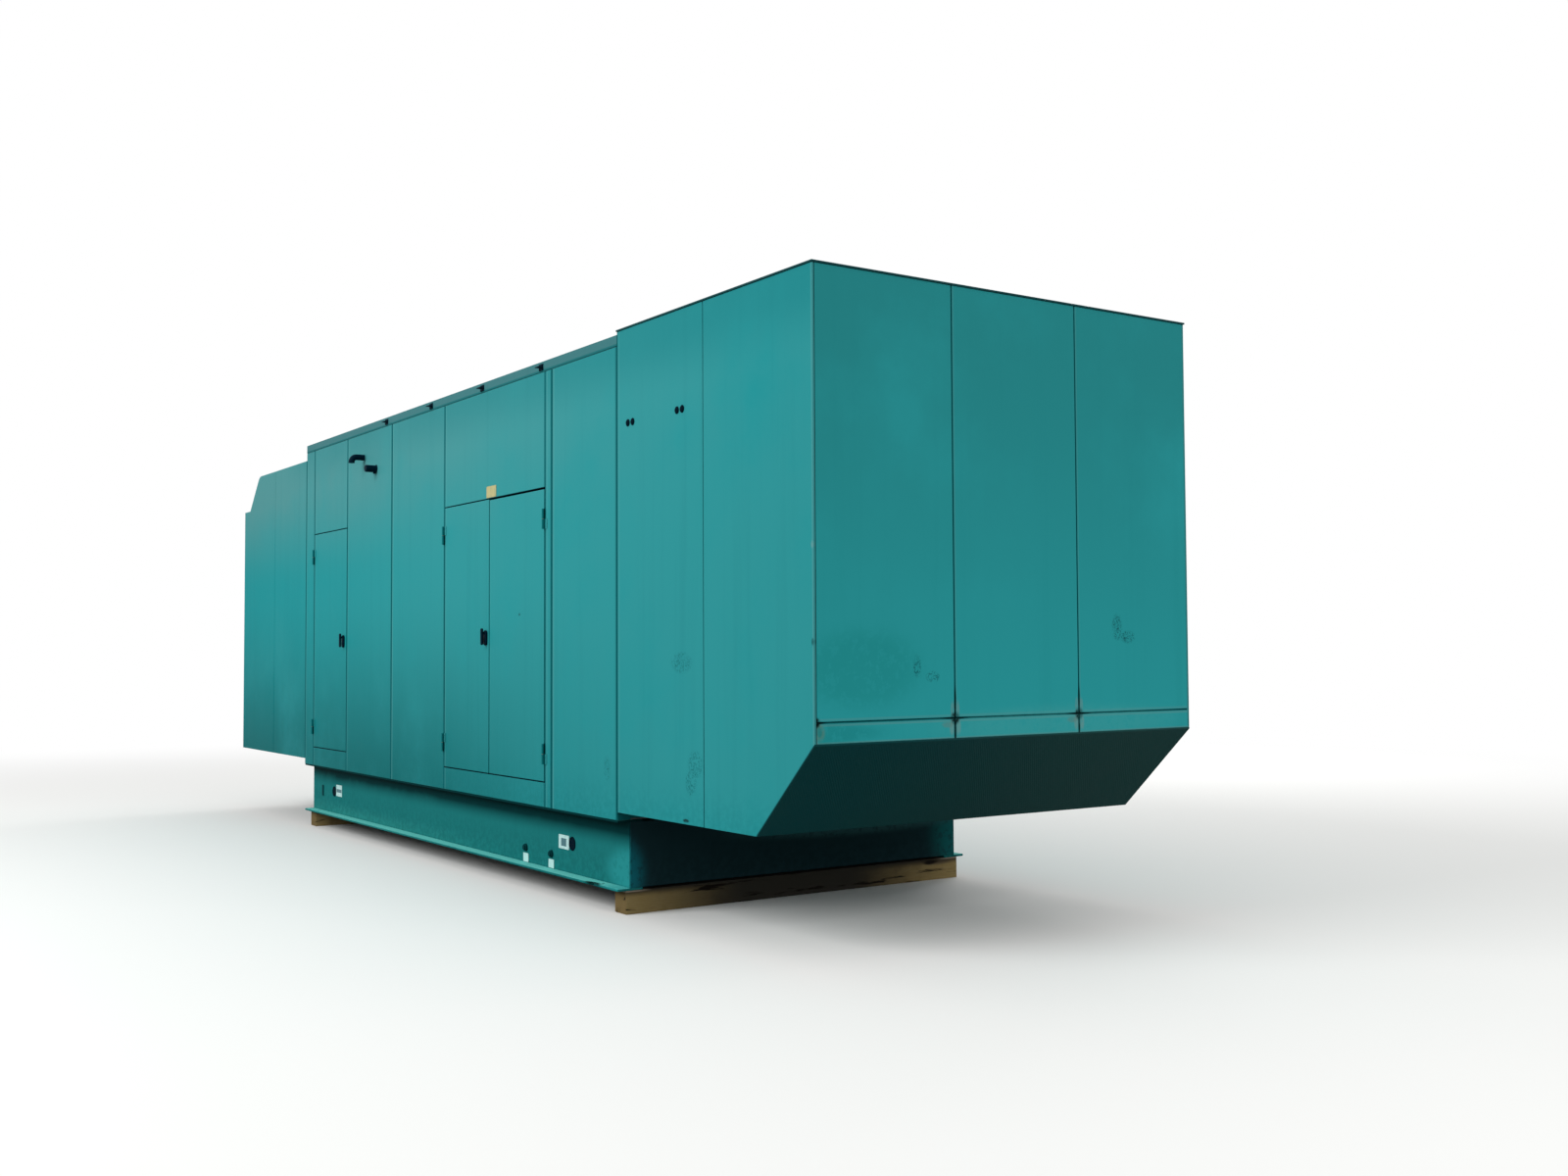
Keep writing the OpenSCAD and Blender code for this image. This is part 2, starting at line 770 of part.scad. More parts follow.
// Lever handle that hangs down from its spindle
module lever(x) {
    y_end = y_f + bore_l - spindle_end;
    y_back = y_f - escutcheon_t - lever_out;
    drop = grip_l - lever_w - lever_up;      // lower round end, below the spindle
    translate([x, 0, z_spindle]) {
        translate([0, y_end, 0]) rotate([90, 0, 0])
            cylinder(r = spindle_r, h = y_end - y_back + proud);
        translate([0, y_back, 0]) rotate([90, 0, 0]) linear_extrude(lever_t) {
            translate([-lever_w / 2, -drop]) square([lever_w, drop + lever_up]);
            for (z = [-drop, lever_up]) translate([0, z]) circle(lever_w / 2);
        }
    }
}

module personnel_door_handle() {
    color(dark_steel) lever(x_bp);
}

module double_door_handle() {
    color(dark_steel) lever(x_bd);
}

// ---- fittings ---------------------------------------------------------------

// Turned-down vent pipe and a short capped stub, high on the front
module vent_fittings() {
    bend = bend_ratio * vent_r;          // bend radius of the pipe's middle line
    color(dark_steel) {
        translate([x_vent, y_f, z_vent]) {
            rotate([90, 0, 0]) cylinder(r = vent_r + collar_w, h = collar_t);
            rotate([90, 0, 0]) cylinder(r = vent_r, h = vent_out - bend);
            translate([0, bend - vent_out, -bend]) rotate([0, -90, 0]) mirror([0, 1, 0])
                rotate_extrude(angle = 90) translate([bend, 0]) circle(vent_r);
            translate([0, -vent_out, -bend - vent_drop]) cylinder(r = vent_r, h = vent_drop);
        }
        translate([x_stub, y_f, z_stub]) {
            rotate([90, 0, 0]) cylinder(r = stub_r + collar_w, h = collar_t);
            rotate([90, 0, 0]) cylinder(r = stub_r, h = stub_out);
            translate([0, -drain_out, -stub_r - drain_drop])
                cylinder(r = drain_r, h = stub_r + drain_drop);
        }
    }
}

// Puts the children on the front rail's web, at a place along the rail from the
// intake end or, where far is true, from the discharge end
module on_web(place, up, far = false) {
    x = far ? x_dj + place : x_ij - place;
    translate([x, -web_y - web_t / 2, timber_h + up]) children();
}

module port(r, out) {
    rotate([90, 0, 0]) cylinder(r = r, h = out);
}

// Flat plate of a width and height on a face, standing out by t
module plate(w, h, t) {
    span([-w / 2, -t, -h / 2], [w / 2, 0, h / 2]);
}

module skid_ports() {
    color(dark_steel) {
        for (p = ports) on_web(p[0], p[1]) port(p[2], p[3]);
        for (p = far_ports) on_web(p[0], p[1], far = true) port(p[2], p[3]);
        on_web(far_slot[0], far_slot[1], far = true) plate(far_slot[2], far_slot[3], slot_t);
    }
}

module blank_tags() {
    color(tag_white) {
        for (t = tags) on_web(t[0], t[1]) plate(t[2], t[3], tag_t);
        for (t = far_tags) on_web(t[0], t[1], far = true) plate(t[2], t[3], tag_t);
    }
    color(tag_yellow) translate([(x_d0 + x_d1) / 2, y_f, z_d1 + door_tag_up + door_tag[1] / 2])
        plate(door_tag[0], door_tag[1], tag_t);
}

// Pairs of plugs near the top of the intake plenum's front
module panel_plugs() {
    color(dark_steel) for (p = plug_pairs, s = [-1, 1])
        translate([x_ij + p + s * plug_pitch / 2, y_f, z_plugs]) rotate([90, 0, 0])
            cylinder(r = plug_r, h = plug_out);
}

timbers();
skid_rails();
skid_ends();
skid_crossmembers();
deck_floor();
front_wall_left();
front_wall_over_personnel_door();
front_wall_middle();
front_wall_over_double_door();
front_wall_right();
front_wall_sills();
rear_wall();
main_roof();
roof_edge_trims();
roof_edge_lugs();
intake_portal();
discharge_portal();
intake_front_side();
intake_rear_side();
intake_end_panels();
intake_end_strips();
intake_roof();
intake_floor();
intake_screen();
discharge_front_side();
discharge_rear_side();
discharge_end_panels();
discharge_roof();
discharge_ledge();
discharge_floor();
personnel_door_stop();
double_door_stop();
hinge_lower_halves();
personnel_door();
personnel_handle_plate();
personnel_door_handle();
double_door_left_leaf();
double_handle_plate();
double_door_handle();
double_door_right_leaf();
vent_fittings();
skid_ports();
blank_tags();
panel_plugs();
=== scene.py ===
import json
import math

import bmesh
import bpy
from mathutils import Matrix, Vector, noise

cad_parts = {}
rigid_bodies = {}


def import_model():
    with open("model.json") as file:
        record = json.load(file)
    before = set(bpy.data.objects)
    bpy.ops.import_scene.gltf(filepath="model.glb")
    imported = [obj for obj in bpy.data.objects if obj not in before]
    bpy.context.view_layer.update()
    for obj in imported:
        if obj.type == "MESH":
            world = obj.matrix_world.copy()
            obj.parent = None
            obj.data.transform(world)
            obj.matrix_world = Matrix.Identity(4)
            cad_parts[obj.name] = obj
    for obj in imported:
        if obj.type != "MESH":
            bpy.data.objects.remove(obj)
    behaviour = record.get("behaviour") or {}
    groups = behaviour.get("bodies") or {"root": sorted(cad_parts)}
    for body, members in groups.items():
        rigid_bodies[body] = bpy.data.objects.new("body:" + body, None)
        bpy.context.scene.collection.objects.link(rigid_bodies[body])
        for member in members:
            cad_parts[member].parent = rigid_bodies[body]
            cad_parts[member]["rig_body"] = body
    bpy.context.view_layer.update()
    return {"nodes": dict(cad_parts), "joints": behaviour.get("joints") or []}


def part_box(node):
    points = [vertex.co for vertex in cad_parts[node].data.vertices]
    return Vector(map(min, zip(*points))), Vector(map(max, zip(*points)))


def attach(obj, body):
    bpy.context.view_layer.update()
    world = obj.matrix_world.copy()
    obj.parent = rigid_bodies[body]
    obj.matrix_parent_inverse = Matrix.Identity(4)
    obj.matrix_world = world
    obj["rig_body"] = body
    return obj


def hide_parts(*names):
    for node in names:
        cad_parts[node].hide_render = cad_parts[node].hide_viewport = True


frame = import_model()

MM = 0.001                                         # one millimetre in metres
FRONT, UP, ALONG = Vector((0, -1, 0)), Vector((0, 0, 1)), Vector((1, 0, 0))
COLLAR = 6 * MM                                    # width of the collars on the wall
LEAVES = ("personnel_door", "double_door_left_leaf", "double_door_right_leaf")
leaf_joints, handle_joints = frame["joints"][:3], frame["joints"][3:]


def linear(code):
    """The linear colour of an sRGB hex code."""
    parts = [int(code[i:i + 2], 16) / 255 for i in (1, 3, 5)]
    return [c / 12.92 if c <= 0.04045 else ((c + 0.055) / 1.055) ** 2.4 for c in parts] + [1.0]


# ---- places that finishes and pieces share ----------------------------------

wall_lo, wall_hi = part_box("front_wall_left")
face = wall_lo.y                                   # front face of the walls
deck = wall_lo.z                                   # top of the skid, foot of the walls
eave = wall_hi.z                                   # top of the walls
skid_lo, skid_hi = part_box("skid_rails")
end_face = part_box("intake_end_panels")[1].x        # outer face of the intake end
strip_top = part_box("intake_end_strips")[1].z       # joint over the strips there
trim_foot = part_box("roof_edge_trims")[0].z         # lower edge of the roof's trim


# ---- node materials ---------------------------------------------------------

def put(tree, kind, inputs=None, **settings):
    """A shader node with its settings made and its inputs filled, by value or by a link."""
    node = tree.nodes.new("ShaderNode" + kind)
    for name, value in settings.items():
        setattr(node, name, value)
    for name, value in (inputs or {}).items():
        if isinstance(value, bpy.types.NodeSocket):
            tree.links.new(value, node.inputs[name])
        else:
            node.inputs[name].default_value = value
    return node


def blank_material(name):
    """A material with an empty node tree, that tree, and the Object coordinates in it."""
    material = bpy.data.materials.new(name)
    material.use_nodes = True
    tree = material.node_tree
    tree.nodes.clear()
    return material, tree, put(tree, "TexCoord").outputs["Object"]


def mask(tree, value, start, full, strength=1.0, within=None):
    """How far a value has gone from start to full, eased at both ends. With within, only
    inside another mask."""
    eased = put(tree, "MapRange",
                {"Value": value, "From Min": start, "From Max": full, "To Max": strength},
                interpolation_type="SMOOTHSTEP").outputs["Result"]
    if within is None:
        return eased
    return put(tree, "Math", {0: eased, 1: within}, operation="MULTIPLY").outputs[0]


def blotches(tree, place, across, start, full, strength=1.0, detail=5):
    """A mask of random patches, each about as wide in X, Y and Z as across says."""
    scale = [1 / width for width in across]
    sized = put(tree, "Mapping", {"Vector": place, "Scale": scale}).outputs[0]
    random = put(tree, "TexNoise", {"Vector": sized, "Scale": 1, "Detail": detail,
                                    "Roughness": 0.62}).outputs["Fac"]
    return mask(tree, random, start, full, strength)


def spot(tree, place, centre, size, within=None):
    """A mask that fades from a centre to nothing at half the size in X, Y and Z."""
    scale = [2 / width for width in size]
    shift = [-c * s for c, s in zip(centre, scale)]
    away = put(tree, "Mapping", {"Vector": place, "Scale": scale, "Location": shift}).outputs[0]
    away = put(tree, "VectorMath", {0: away}, operation="LENGTH").outputs["Value"]
    return mask(tree, away, 1.0, 0.3, within=within)


def coated(tree, ground, coats):
    """A ground colour with each coat's colour laid over it where the coat's mask is 1."""
    ground = linear(ground)
    for cover, colour in coats:
        ground = put(tree, "Mix", {0: cover, 6: ground, 7: linear(colour)},
                     data_type="RGBA").outputs[2]
    return ground


def embossed(tree, levels):
    """A normal from patterns laid one on another, each with its height in metres."""
    inputs = {}
    for pattern, height in levels:
        inputs.update({"Height": pattern, "Distance": height})
        inputs["Normal"] = put(tree, "Bump", inputs).outputs["Normal"]
    return inputs["Normal"]


def surfaced(tree, inputs):
    """Closes a material with its shader."""
    shader = put(tree, "BsdfPrincipled", inputs)
    put(tree, "OutputMaterial", {"Surface": shader.outputs["BSDF"]})


def enamel(name, colour, grime, foot, films=(), lines=(), stains_and_painted_light=(), scuffs=(), streaky=0.12,
           muddy=0.35, dust_and_highlight=None, crevices=0.85, gloss=0.03):
    """Semi-gloss alkyd enamel sprayed on folded sheet: a soft sheen with a fine orange
    peel over slight buckles, streaked by rain, splashed at its foot and darkened in its
    crevices by dirt and painted shade. Films of tint, fading, dirt, painted reflection and
    painted shade come on with height and along X, and dust and painted highlights lie on
    what faces up. Lines, marks and scuffs, among them painted shade, painted highlights and
    painted light, each have a place, a size, a colour and a strength."""
    material, tree, place = blank_material(name)
    parts = put(tree, "SeparateXYZ", {"Vector": place}).outputs
    uneven = blotches(tree, place, [1.1] * 3, 0.0, 0.6)
    speckle = blotches(tree, place, [0.045] * 3, 0.38, 0.6)
    coats = []
    for shade, heights, reach, strength in films:
        film = mask(tree, parts["Z"], *heights, strength, within=uneven)
        coats.append((mask(tree, parts["X"], *reach, within=film), shade))
    coats.append((blotches(tree, place, (0.12, 0.12, 3.5), 0.48, 0.78, streaky), grime))
    coats.append((mask(tree, parts["Z"], foot + 0.35, foot, muddy, within=speckle), grime))
    # What faces up takes dust, and on the skid a painted highlight
    if dust_and_highlight:
        facing = put(tree, "NewGeometry").outputs["Normal"]
        facing = put(tree, "SeparateXYZ", {"Vector": facing}).outputs["Z"]
        coats.append((mask(tree, facing, 0.5, 1, 0.85), dust_and_highlight))
    # Seam lines are dirt and painted shade, fold lines painted highlights
    for axis, level, reach, shade, strength in lines:
        off = put(tree, "Math", {0: parts[axis], 1: level}, operation="SUBTRACT").outputs[0]
        off = put(tree, "Math", {0: off}, operation="ABSOLUTE").outputs[0]
        coats.append((mask(tree, off, reach, 0.4 * reach, strength), shade))
    patchy = mask(tree, speckle, -0.6, 0.5)
    # Stains, and on the skid's end plates patches of painted light
    for centre, size, shade, strength in stains_and_painted_light:
        coats.append((mask(tree, spot(tree, place, centre, size), 0, 1, strength, within=patchy),
                      shade))
    if scuffs:
        # Hairline scratches in loops, some 10 mm apart
        hair = put(tree, "TexNoise", {"Vector": place, "Scale": 38, "Detail": 2,
                                      "Distortion": 2}).outputs["Fac"]
        hair = mask(tree, hair, 0.5, 0.53, within=mask(tree, hair, 0.6, 0.56))
    for centre, size, shade, strength in scuffs:
        coats.append((mask(tree, spot(tree, place, centre, size, within=hair), 0, 0.5, strength),
                      shade))
    # Dirt and painted shade darken the paint within 25 mm of other surfaces
    open_air = put(tree, "AmbientOcclusion", {"Distance": 25 * MM}, samples=4).outputs["AO"]
    coats.append((mask(tree, open_air, 0.8, 0.25, crevices), CREVICE))
    peel = blotches(tree, place, [0.004] * 3, 0, 1, detail=2)
    buckle = blotches(tree, place, [0.7] * 3, 0, 1, detail=1)
    dull = put(tree, "MapRange", {"Value": uneven, "To Min": 0.42,
                                  "To Max": 0.56}).outputs["Result"]
    surfaced(tree, {"Base Color": coated(tree, colour, coats), "Roughness": dull,
                    "Specular IOR Level": gloss,
                    "Normal": embossed(tree, [(buckle, 3 * MM), (peel, 0.06 * MM)])})
    return material


def stove_enamel(name, colour, worn, roughness):
    """Black stove enamel on steel: near black and half matt, greyer where hands and
    weather have rubbed it."""
    material, tree, place = blank_material(name)
    rubbed = blotches(tree, place, [0.04] * 3, 0.5, 0.75, 0.5)
    shine = put(tree, "MapRange", {"Value": rubbed, "To Min": roughness,
                                   "To Max": roughness + 0.3}).outputs["Result"]
    peel = blotches(tree, place, [0.0015] * 3, 0, 1, detail=2)
    surfaced(tree, {"Base Color": coated(tree, colour, [(rubbed, worn)]),
                    "Roughness": shine, "Specular IOR Level": 0.03,
                    "Normal": embossed(tree, [(peel, 0.05 * MM)])})
    return material


def moulded_rubber(name, colour, bloomed):
    """Moulded EPDM rubber: matt and near black, bloomed a little paler by the weather."""
    material, tree, place = blank_material(name)
    bloom = blotches(tree, place, [0.03] * 3, 0.45, 0.75, 0.3)
    grit = blotches(tree, place, [0.001] * 3, 0, 1, detail=2)
    surfaced(tree, {"Base Color": coated(tree, colour, [(bloom, bloomed)]),
                    "Roughness": 0.7, "Specular IOR Level": 0.02,
                    "Normal": embossed(tree, [(grit, 0.08 * MM)])})
    return material


def plated_steel(name, colour, dull):
    """Plated steel gone dull outdoors: soft grey or yellow metal with a cloudy mottle."""
    material, tree, place = blank_material(name)
    cloudy = blotches(tree, place, [0.012] * 3, 0.4, 0.7)
    rough = put(tree, "MapRange", {"Value": cloudy, "To Min": 0.35,
                                   "To Max": 0.6}).outputs["Result"]
    surfaced(tree, {"Base Color": coated(tree, colour, [(cloudy, dull)]),
                    "Metallic": 1.0, "Roughness": rough})
    return material


def label_plastic(name, colour, grime):
    """Blank vinyl label stock: a smooth satin face, greyed by dust and rain dirt."""
    material, tree, place = blank_material(name)
    dirty = blotches(tree, place, (0.03, 0.03, 0.05), 0.45, 0.75, 0.6)
    surfaced(tree, {"Base Color": coated(tree, colour, [(dirty, grime)]),
                    "Roughness": 0.45, "Specular IOR Level": 0.3})
    return material


def tread_plate(name, pitch=32 * MM):
    """Painted steel tread plate: mid grey with raised lozenges 32 mm apart, each turned a
    quarter from its neighbours, their tops rubbed paler by boots."""
    material, tree, place = blank_material(name)
    cells = put(tree, "Mapping", {"Vector": place, "Rotation": (0, 0, math.radians(45)),
                                  "Scale": (1 / pitch, 1 / pitch, 0)}).outputs[0]
    cell = put(tree, "VectorMath", {0: cells}, operation="FRACTION").outputs["Vector"]
    cell = put(tree, "VectorMath", {0: cell, 1: (0.5, 0.5, 0)},
               operation="SUBTRACT").outputs["Vector"]
    odd = put(tree, "TexChecker", {"Vector": cells, "Scale": 1}).outputs["Fac"]
    lozenges = []
    for size in ((0.42, 0.13, 1), (0.13, 0.42, 1)):    # half length and width, in cells
        away = put(tree, "VectorMath", {0: cell, 1: size}, operation="DIVIDE").outputs[0]
        away = put(tree, "VectorMath", {0: away}, operation="LENGTH").outputs["Value"]
        lozenges.append(mask(tree, away, 1, 0.7))
    raised = put(tree, "Mix", {0: odd, 2: lozenges[0], 3: lozenges[1]}).outputs[0]
    dirt = blotches(tree, place, [0.25] * 3, 0.4, 0.7, 0.7)
    rubbed = mask(tree, raised, 0, 1, within=blotches(tree, place, [0.6] * 3, 0.3, 0.6, 0.6))
    surfaced(tree, {"Base Color": coated(tree, "#565D5F",
                                         [(dirt, "#3B3F3E"), (rubbed, "#83898A")]),
                    "Roughness": 0.5, "Specular IOR Level": 0.3,
                    "Normal": embossed(tree, [(raised, 1.6 * MM)])})
    return material


def wire_cloth(name, weave=16 * MM):
    """Fine woven wire cloth under dark paint: a dull green-black sheet with a faint
    square weave, paler towards the rear as painted light. The real weave of 2 mm is too
    fine to show and is drawn at 16 mm."""
    material, tree, place = blank_material(name)
    parts = put(tree, "SeparateXYZ", {"Vector": place}).outputs
    ridges = []
    for across in (parts["Y"], parts["Z"]):
        phase = put(tree, "Math", {0: across, 1: 2 * math.pi / weave},
                    operation="MULTIPLY").outputs[0]
        ridges.append(put(tree, "Math", {0: phase}, operation="SINE").outputs[0])
    cloth = put(tree, "Math", {0: ridges[0], 1: ridges[1]}, operation="MULTIPLY").outputs[0]
    lint = blotches(tree, place, [0.5] * 3, 0.35, 0.7, 0.3)
    # Paler towards the rear: painted light
    painted_light_rearward = mask(tree, parts["Y"], -1.4, 0.9, 0.85)
    surfaced(tree, {"Base Color": coated(tree, "#0C484B",
                                         [(mask(tree, cloth, -0.5, 0.9, 0.2), "#093233"),
                                          (painted_light_rearward, "#2A4F4D"), (lint, "#1A4D4B")]),
                    "Roughness": 0.7, "Specular IOR Level": 0.04,
                    "Normal": embossed(tree, [(cloth, 0.3 * MM)])})
    return material


def sawn_softwood(name, lo, hi, ring=7 * MM):
    """Sawn softwood left outdoors, a beam between two corners: olive brown with yearly
    rings 7 mm apart round a heart off to one side, drying checks along the grain, damp
    patches, dirty end grain and a knot. Painted shade darkens its top, a painted shadow its
    middle under the enclosure, and a painted highlight runs just under its top edge near the ends."""
    material, tree, place = blank_material(name)
    parts = put(tree, "SeparateXYZ", {"Vector": place}).outputs
    # The rings wander along the beam, and less across it
    wander = put(tree, "Mapping", {"Vector": place, "Scale": (5, 1.1, 5)}).outputs[0]
    wander = put(tree, "TexNoise", {"Vector": wander, "Scale": 1, "Detail": 3}).outputs["Color"]
    wander = put(tree, "VectorMath", {0: wander, 1: (0.05, 0, 0.05)},
                 operation="MULTIPLY").outputs["Vector"]
    bent = put(tree, "VectorMath", {0: place, 1: wander}, operation="ADD").outputs[0]
    # The heart lies 20 mm outside the beam's outer face and 30 mm under the beam
    bent = put(tree, "Mapping", {"Vector": bent, "Location": (-hi.x - 0.02, 0, 0.03 - lo.z),
                                 "Scale": (1, 0, 1)}).outputs[0]
    radius = put(tree, "VectorMath", {0: bent}, operation="LENGTH").outputs["Value"]
    phase = put(tree, "Math", {0: radius, 1: 2 * math.pi / ring}, operation="MULTIPLY").outputs[0]
    rings = put(tree, "Math", {0: phase}, operation="SINE").outputs[0]
    late = mask(tree, rings, 0, 1, 0.5)
    checks = blotches(tree, place, (0.04, 0.6, 0.04), 0.6, 0.66)
    fibres = blotches(tree, place, (0.006, 0.12, 0.006), 0.35, 0.7, 0.4, detail=3)
    damp = blotches(tree, place, [0.3] * 3, 0.45, 0.66, 0.5)
    # Painted shadow under the enclosure, darkest at the beam's middle, and painted shade along its
    # top
    painted_shadow_under_set = spot(tree, place, (hi.x, -0.05, hi.z), (9, 2.75, 9))
    painted_shade_along_top = mask(tree, parts["Z"], hi.z - 0.05, hi.z)
    aside = put(tree, "Math", {0: parts["Y"]}, operation="ABSOLUTE").outputs[0]
    end_grain = mask(tree, aside, hi.y - 3 * MM, hi.y, 0.75)
    # A painted highlight on the top arris near each end
    painted_arris_highlight = mask(tree, parts["Z"], hi.z - 14 * MM, hi.z - 6 * MM, 0.7,
                    within=mask(tree, aside, hi.y - 0.2, hi.y - 0.08))
    knot = spot(tree, place, (hi.x, 1.12, hi.z - 24 * MM), (0.3, 0.17, 0.04))
    round_knot = spot(tree, place, (hi.x, 1.2, hi.z - 20 * MM), (0.4, 0.4, 0.07))
    surfaced(tree, {"Base Color": coated(tree, "#A8925F",
                                         [(late, "#7D6338"), (fibres, "#B7A47A"),
                                          (damp, "#5C4C34"), (round_knot, "#7A6A50"),
                                          (painted_shade_along_top, "#37322A"), (painted_shadow_under_set, "#35332D"),
                                          (end_grain, "#5C4D30"), (painted_arris_highlight, "#B5A796"),
                                          (knot, "#120D08"),
                                          (checks, "#150F09")]),
                    "Roughness": 0.85, "Specular IOR Level": 0.1,
                    "Normal": embossed(tree, [(checks, -2 * MM), (late, -0.4 * MM),
                                              (fibres, 0.3 * MM), (knot, -6 * MM)])})
    return material


# ---- modelling --------------------------------------------------------------

def placed(name, data):
    """A new object in the scene, with its data."""
    made = bpy.data.objects.new(name, data)
    bpy.context.collection.objects.link(made)
    return made


def mesh_of(name, bm):
    """A new mesh from a bmesh, which is freed."""
    mesh = bpy.data.meshes.new(name)
    bm.to_mesh(mesh)
    bm.free()
    return mesh


def finish_piece(name, bm, finish, body, nodes=()):
    """A piece made from a bmesh: its finish, the body it rides on and the CAD nodes it
    stands for."""
    mesh = mesh_of(name, bm)
    mesh.shade_smooth()
    mesh.set_sharp_from_angle(angle=math.radians(40))
    mesh.materials.append(finishes[finish])
    piece = placed(name, mesh)
    # Flat faces stay flat in the light next to small rounded edges
    piece.modifiers.new("flat_faces", "WEIGHTED_NORMAL").keep_sharp = True
    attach(piece, body)
    if nodes:
        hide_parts(*nodes)
    return piece


def body_of(node):
    """The body that a CAD node rides on."""
    return frame["nodes"][node]["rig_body"]


def merged_copy(node):
    """A CAD node's mesh as a bmesh with its triangles joined into faces."""
    bm = bmesh.new()
    bm.from_mesh(frame["nodes"][node].data)
    bmesh.ops.remove_doubles(bm, verts=bm.verts, dist=0.02 * MM)
    bmesh.ops.dissolve_limit(bm, angle_limit=math.radians(1), verts=bm.verts, edges=bm.edges)
    return bm


def solids(node):
    """The separate solids of a CAD node, each as its low and high corner, in order of X."""
    bm = merged_copy(node)
    left = set(bm.verts)
    boxes = []
    while left:
        island, rim = set(), [left.pop()]
        while rim:
            vert = rim.pop()
            island.add(vert)
            near = {edge.other_vert(vert) for edge in vert.link_edges} & left
            left -= near
            rim += near
        spots = [vert.co for vert in island]
        boxes.append([Vector(pick(s[k] for s in spots) for k in range(3)) for pick in (min, max)])
    bm.free()
    return sorted(boxes, key=lambda box: tuple(box[0] + box[1]))


def back_middle(lo, hi):
    """The middle of a box's rear face."""
    return Vector(((lo.x + hi.x) / 2, hi.y, (lo.z + hi.z) / 2))


def has_room(edge, width):
    """Whether an edge's faces are wide enough to be rounded by a width at both sides."""
    start, end = (v.co for v in edge.verts)
    along = (end - start).normalized()
    for side in edge.link_faces:
        reach = max(((v.co - start) - (v.co - start).dot(along) * along).length
                    for v in side.verts)
        if reach < 2.05 * width:
            return False
    return True


def rounded(bm, edges, width, segments=2):
    """Rounds edges by a width, and gives the vertices that this makes."""
    return bmesh.ops.bevel(bm, geom=edges, offset=width, segments=segments, profile=0.5,
                           affect="EDGES", material=-1)["verts"]


def round_edges(bm, width, sharper, longer, shorter=math.inf):
    """Rounds the edges that turn by more than sharper degrees and have a length in range."""
    edges = [e for e in bm.edges if len(e.link_faces) == 2
             and e.calc_face_angle(0) > math.radians(sharper)
             and longer <= e.calc_length() <= shorter and has_room(e, width)]
    if edges:
        rounded(bm, edges, width)


def dress(node, finish, edge=3.5 * MM, fine=0, long_edge=60 * MM):
    """Stands in for a CAD node with the same shape, its long edges folded to a radius and
    its short ones broken."""
    bm = merged_copy(node)
    round_edges(bm, edge, 35, longer=long_edge)
    if fine:
        round_edges(bm, fine, 50, longer=2.2 * fine, shorter=long_edge)
    return finish_piece(node + ".finished", bm, finish, body_of(node), [node])


def paint(piece, finish, where):
    """Gives a second finish to the faces of a piece whose middle passes a test."""
    piece.data.materials.append(finishes[finish])
    for polygon in piece.data.polygons:
        if where(polygon.center):
            polygon.material_index = len(piece.data.materials) - 1


def on_hinge(place):
    """Whether a place is on a hinge's barrel."""
    return any((place.xy - Vector(joint["pos_m"][:2])).length < 10 * MM for joint in leaf_joints)


def block(bm, lo, hi, edge=0.0, segments=2):
    """A block between two corners with its edges rounded."""
    lo, hi = Vector(lo), Vector(hi)
    place = Matrix.LocRotScale((lo + hi) / 2, None, hi - lo)
    made = bmesh.ops.create_cube(bm, size=1, matrix=place)["verts"]
    if edge:
        rounded(bm, list({e for v in made for e in v.link_edges}), edge, segments)


def turned(bm, base, out, outline, steps=40):
    """A turned solid: its outline gives radii and their distances from the base along
    out. Six steps make a hexagon."""
    old, base = set(bm.verts), Vector(base)
    side = out.orthogonal().normalized()
    verts = [bm.verts.new(base + side * radius + out * far) for radius, far in outline]
    edges = [bm.edges.new(pair) for pair in zip(verts, verts[1:])]
    bmesh.ops.spin(bm, geom=verts + edges, cent=base, axis=out, angle=2 * math.pi, steps=steps,
                   use_merge=True)
    made = [v for v in bm.verts if v not in old]
    bmesh.ops.remove_doubles(bm, verts=made, dist=0.01 * MM)
    made = [v for v in bm.verts if v not in old]
    bmesh.ops.recalc_face_normals(bm, faces=list({f for v in made for f in v.link_faces}))
    return made


def hex_bolt(bm, base, out, size=5 * MM):
    """A hexagon head with a washer, size from its middle to a corner."""
    base = Vector(base)
    turned(bm, base, out, [(0, 0), (1.3 * size, 0), (1.3 * size, 0.2 * size), (0, 0.2 * size)],
           steps=24)
    turned(bm, base + out * 0.2 * size, out,
           [(0, 0), (size, 0), (size, 0.6 * size), (0.86 * size, 0.75 * size), (0, 0.75 * size)],
           steps=6)


def button_screw(bm, base, out, radius=5 * MM):
    """A low domed screw head with a hexagon socket."""
    turned(bm, base, out,
           [(0, 0.2 * radius), (0.42 * radius, 0.2 * radius), (0.42 * radius, 0.5 * radius),
            (0.65 * radius, 0.46 * radius), (0.9 * radius, 0.26 * radius), (radius, 0)], steps=12)


# ---- the finishes -----------------------------------------------------------

middle_panel = sorted(solids("intake_end_panels"), key=lambda box: box[0].y)[1]
end_seams = [corner.y for corner in middle_panel]  # upright seams of the intake end
# The paint and its films' colours: a tint, fading with a painted sky reflection, dirt with a
# painted reflection of the dark ground, and painted shade under the eaves
TEAL, FADE_AND_SKY_SHEEN, GRIME_AND_SHADE, INTAKE_TINT, SHADED = "#11959A", "#4F9698", "#04686A", "#2F979B", "#067F84"
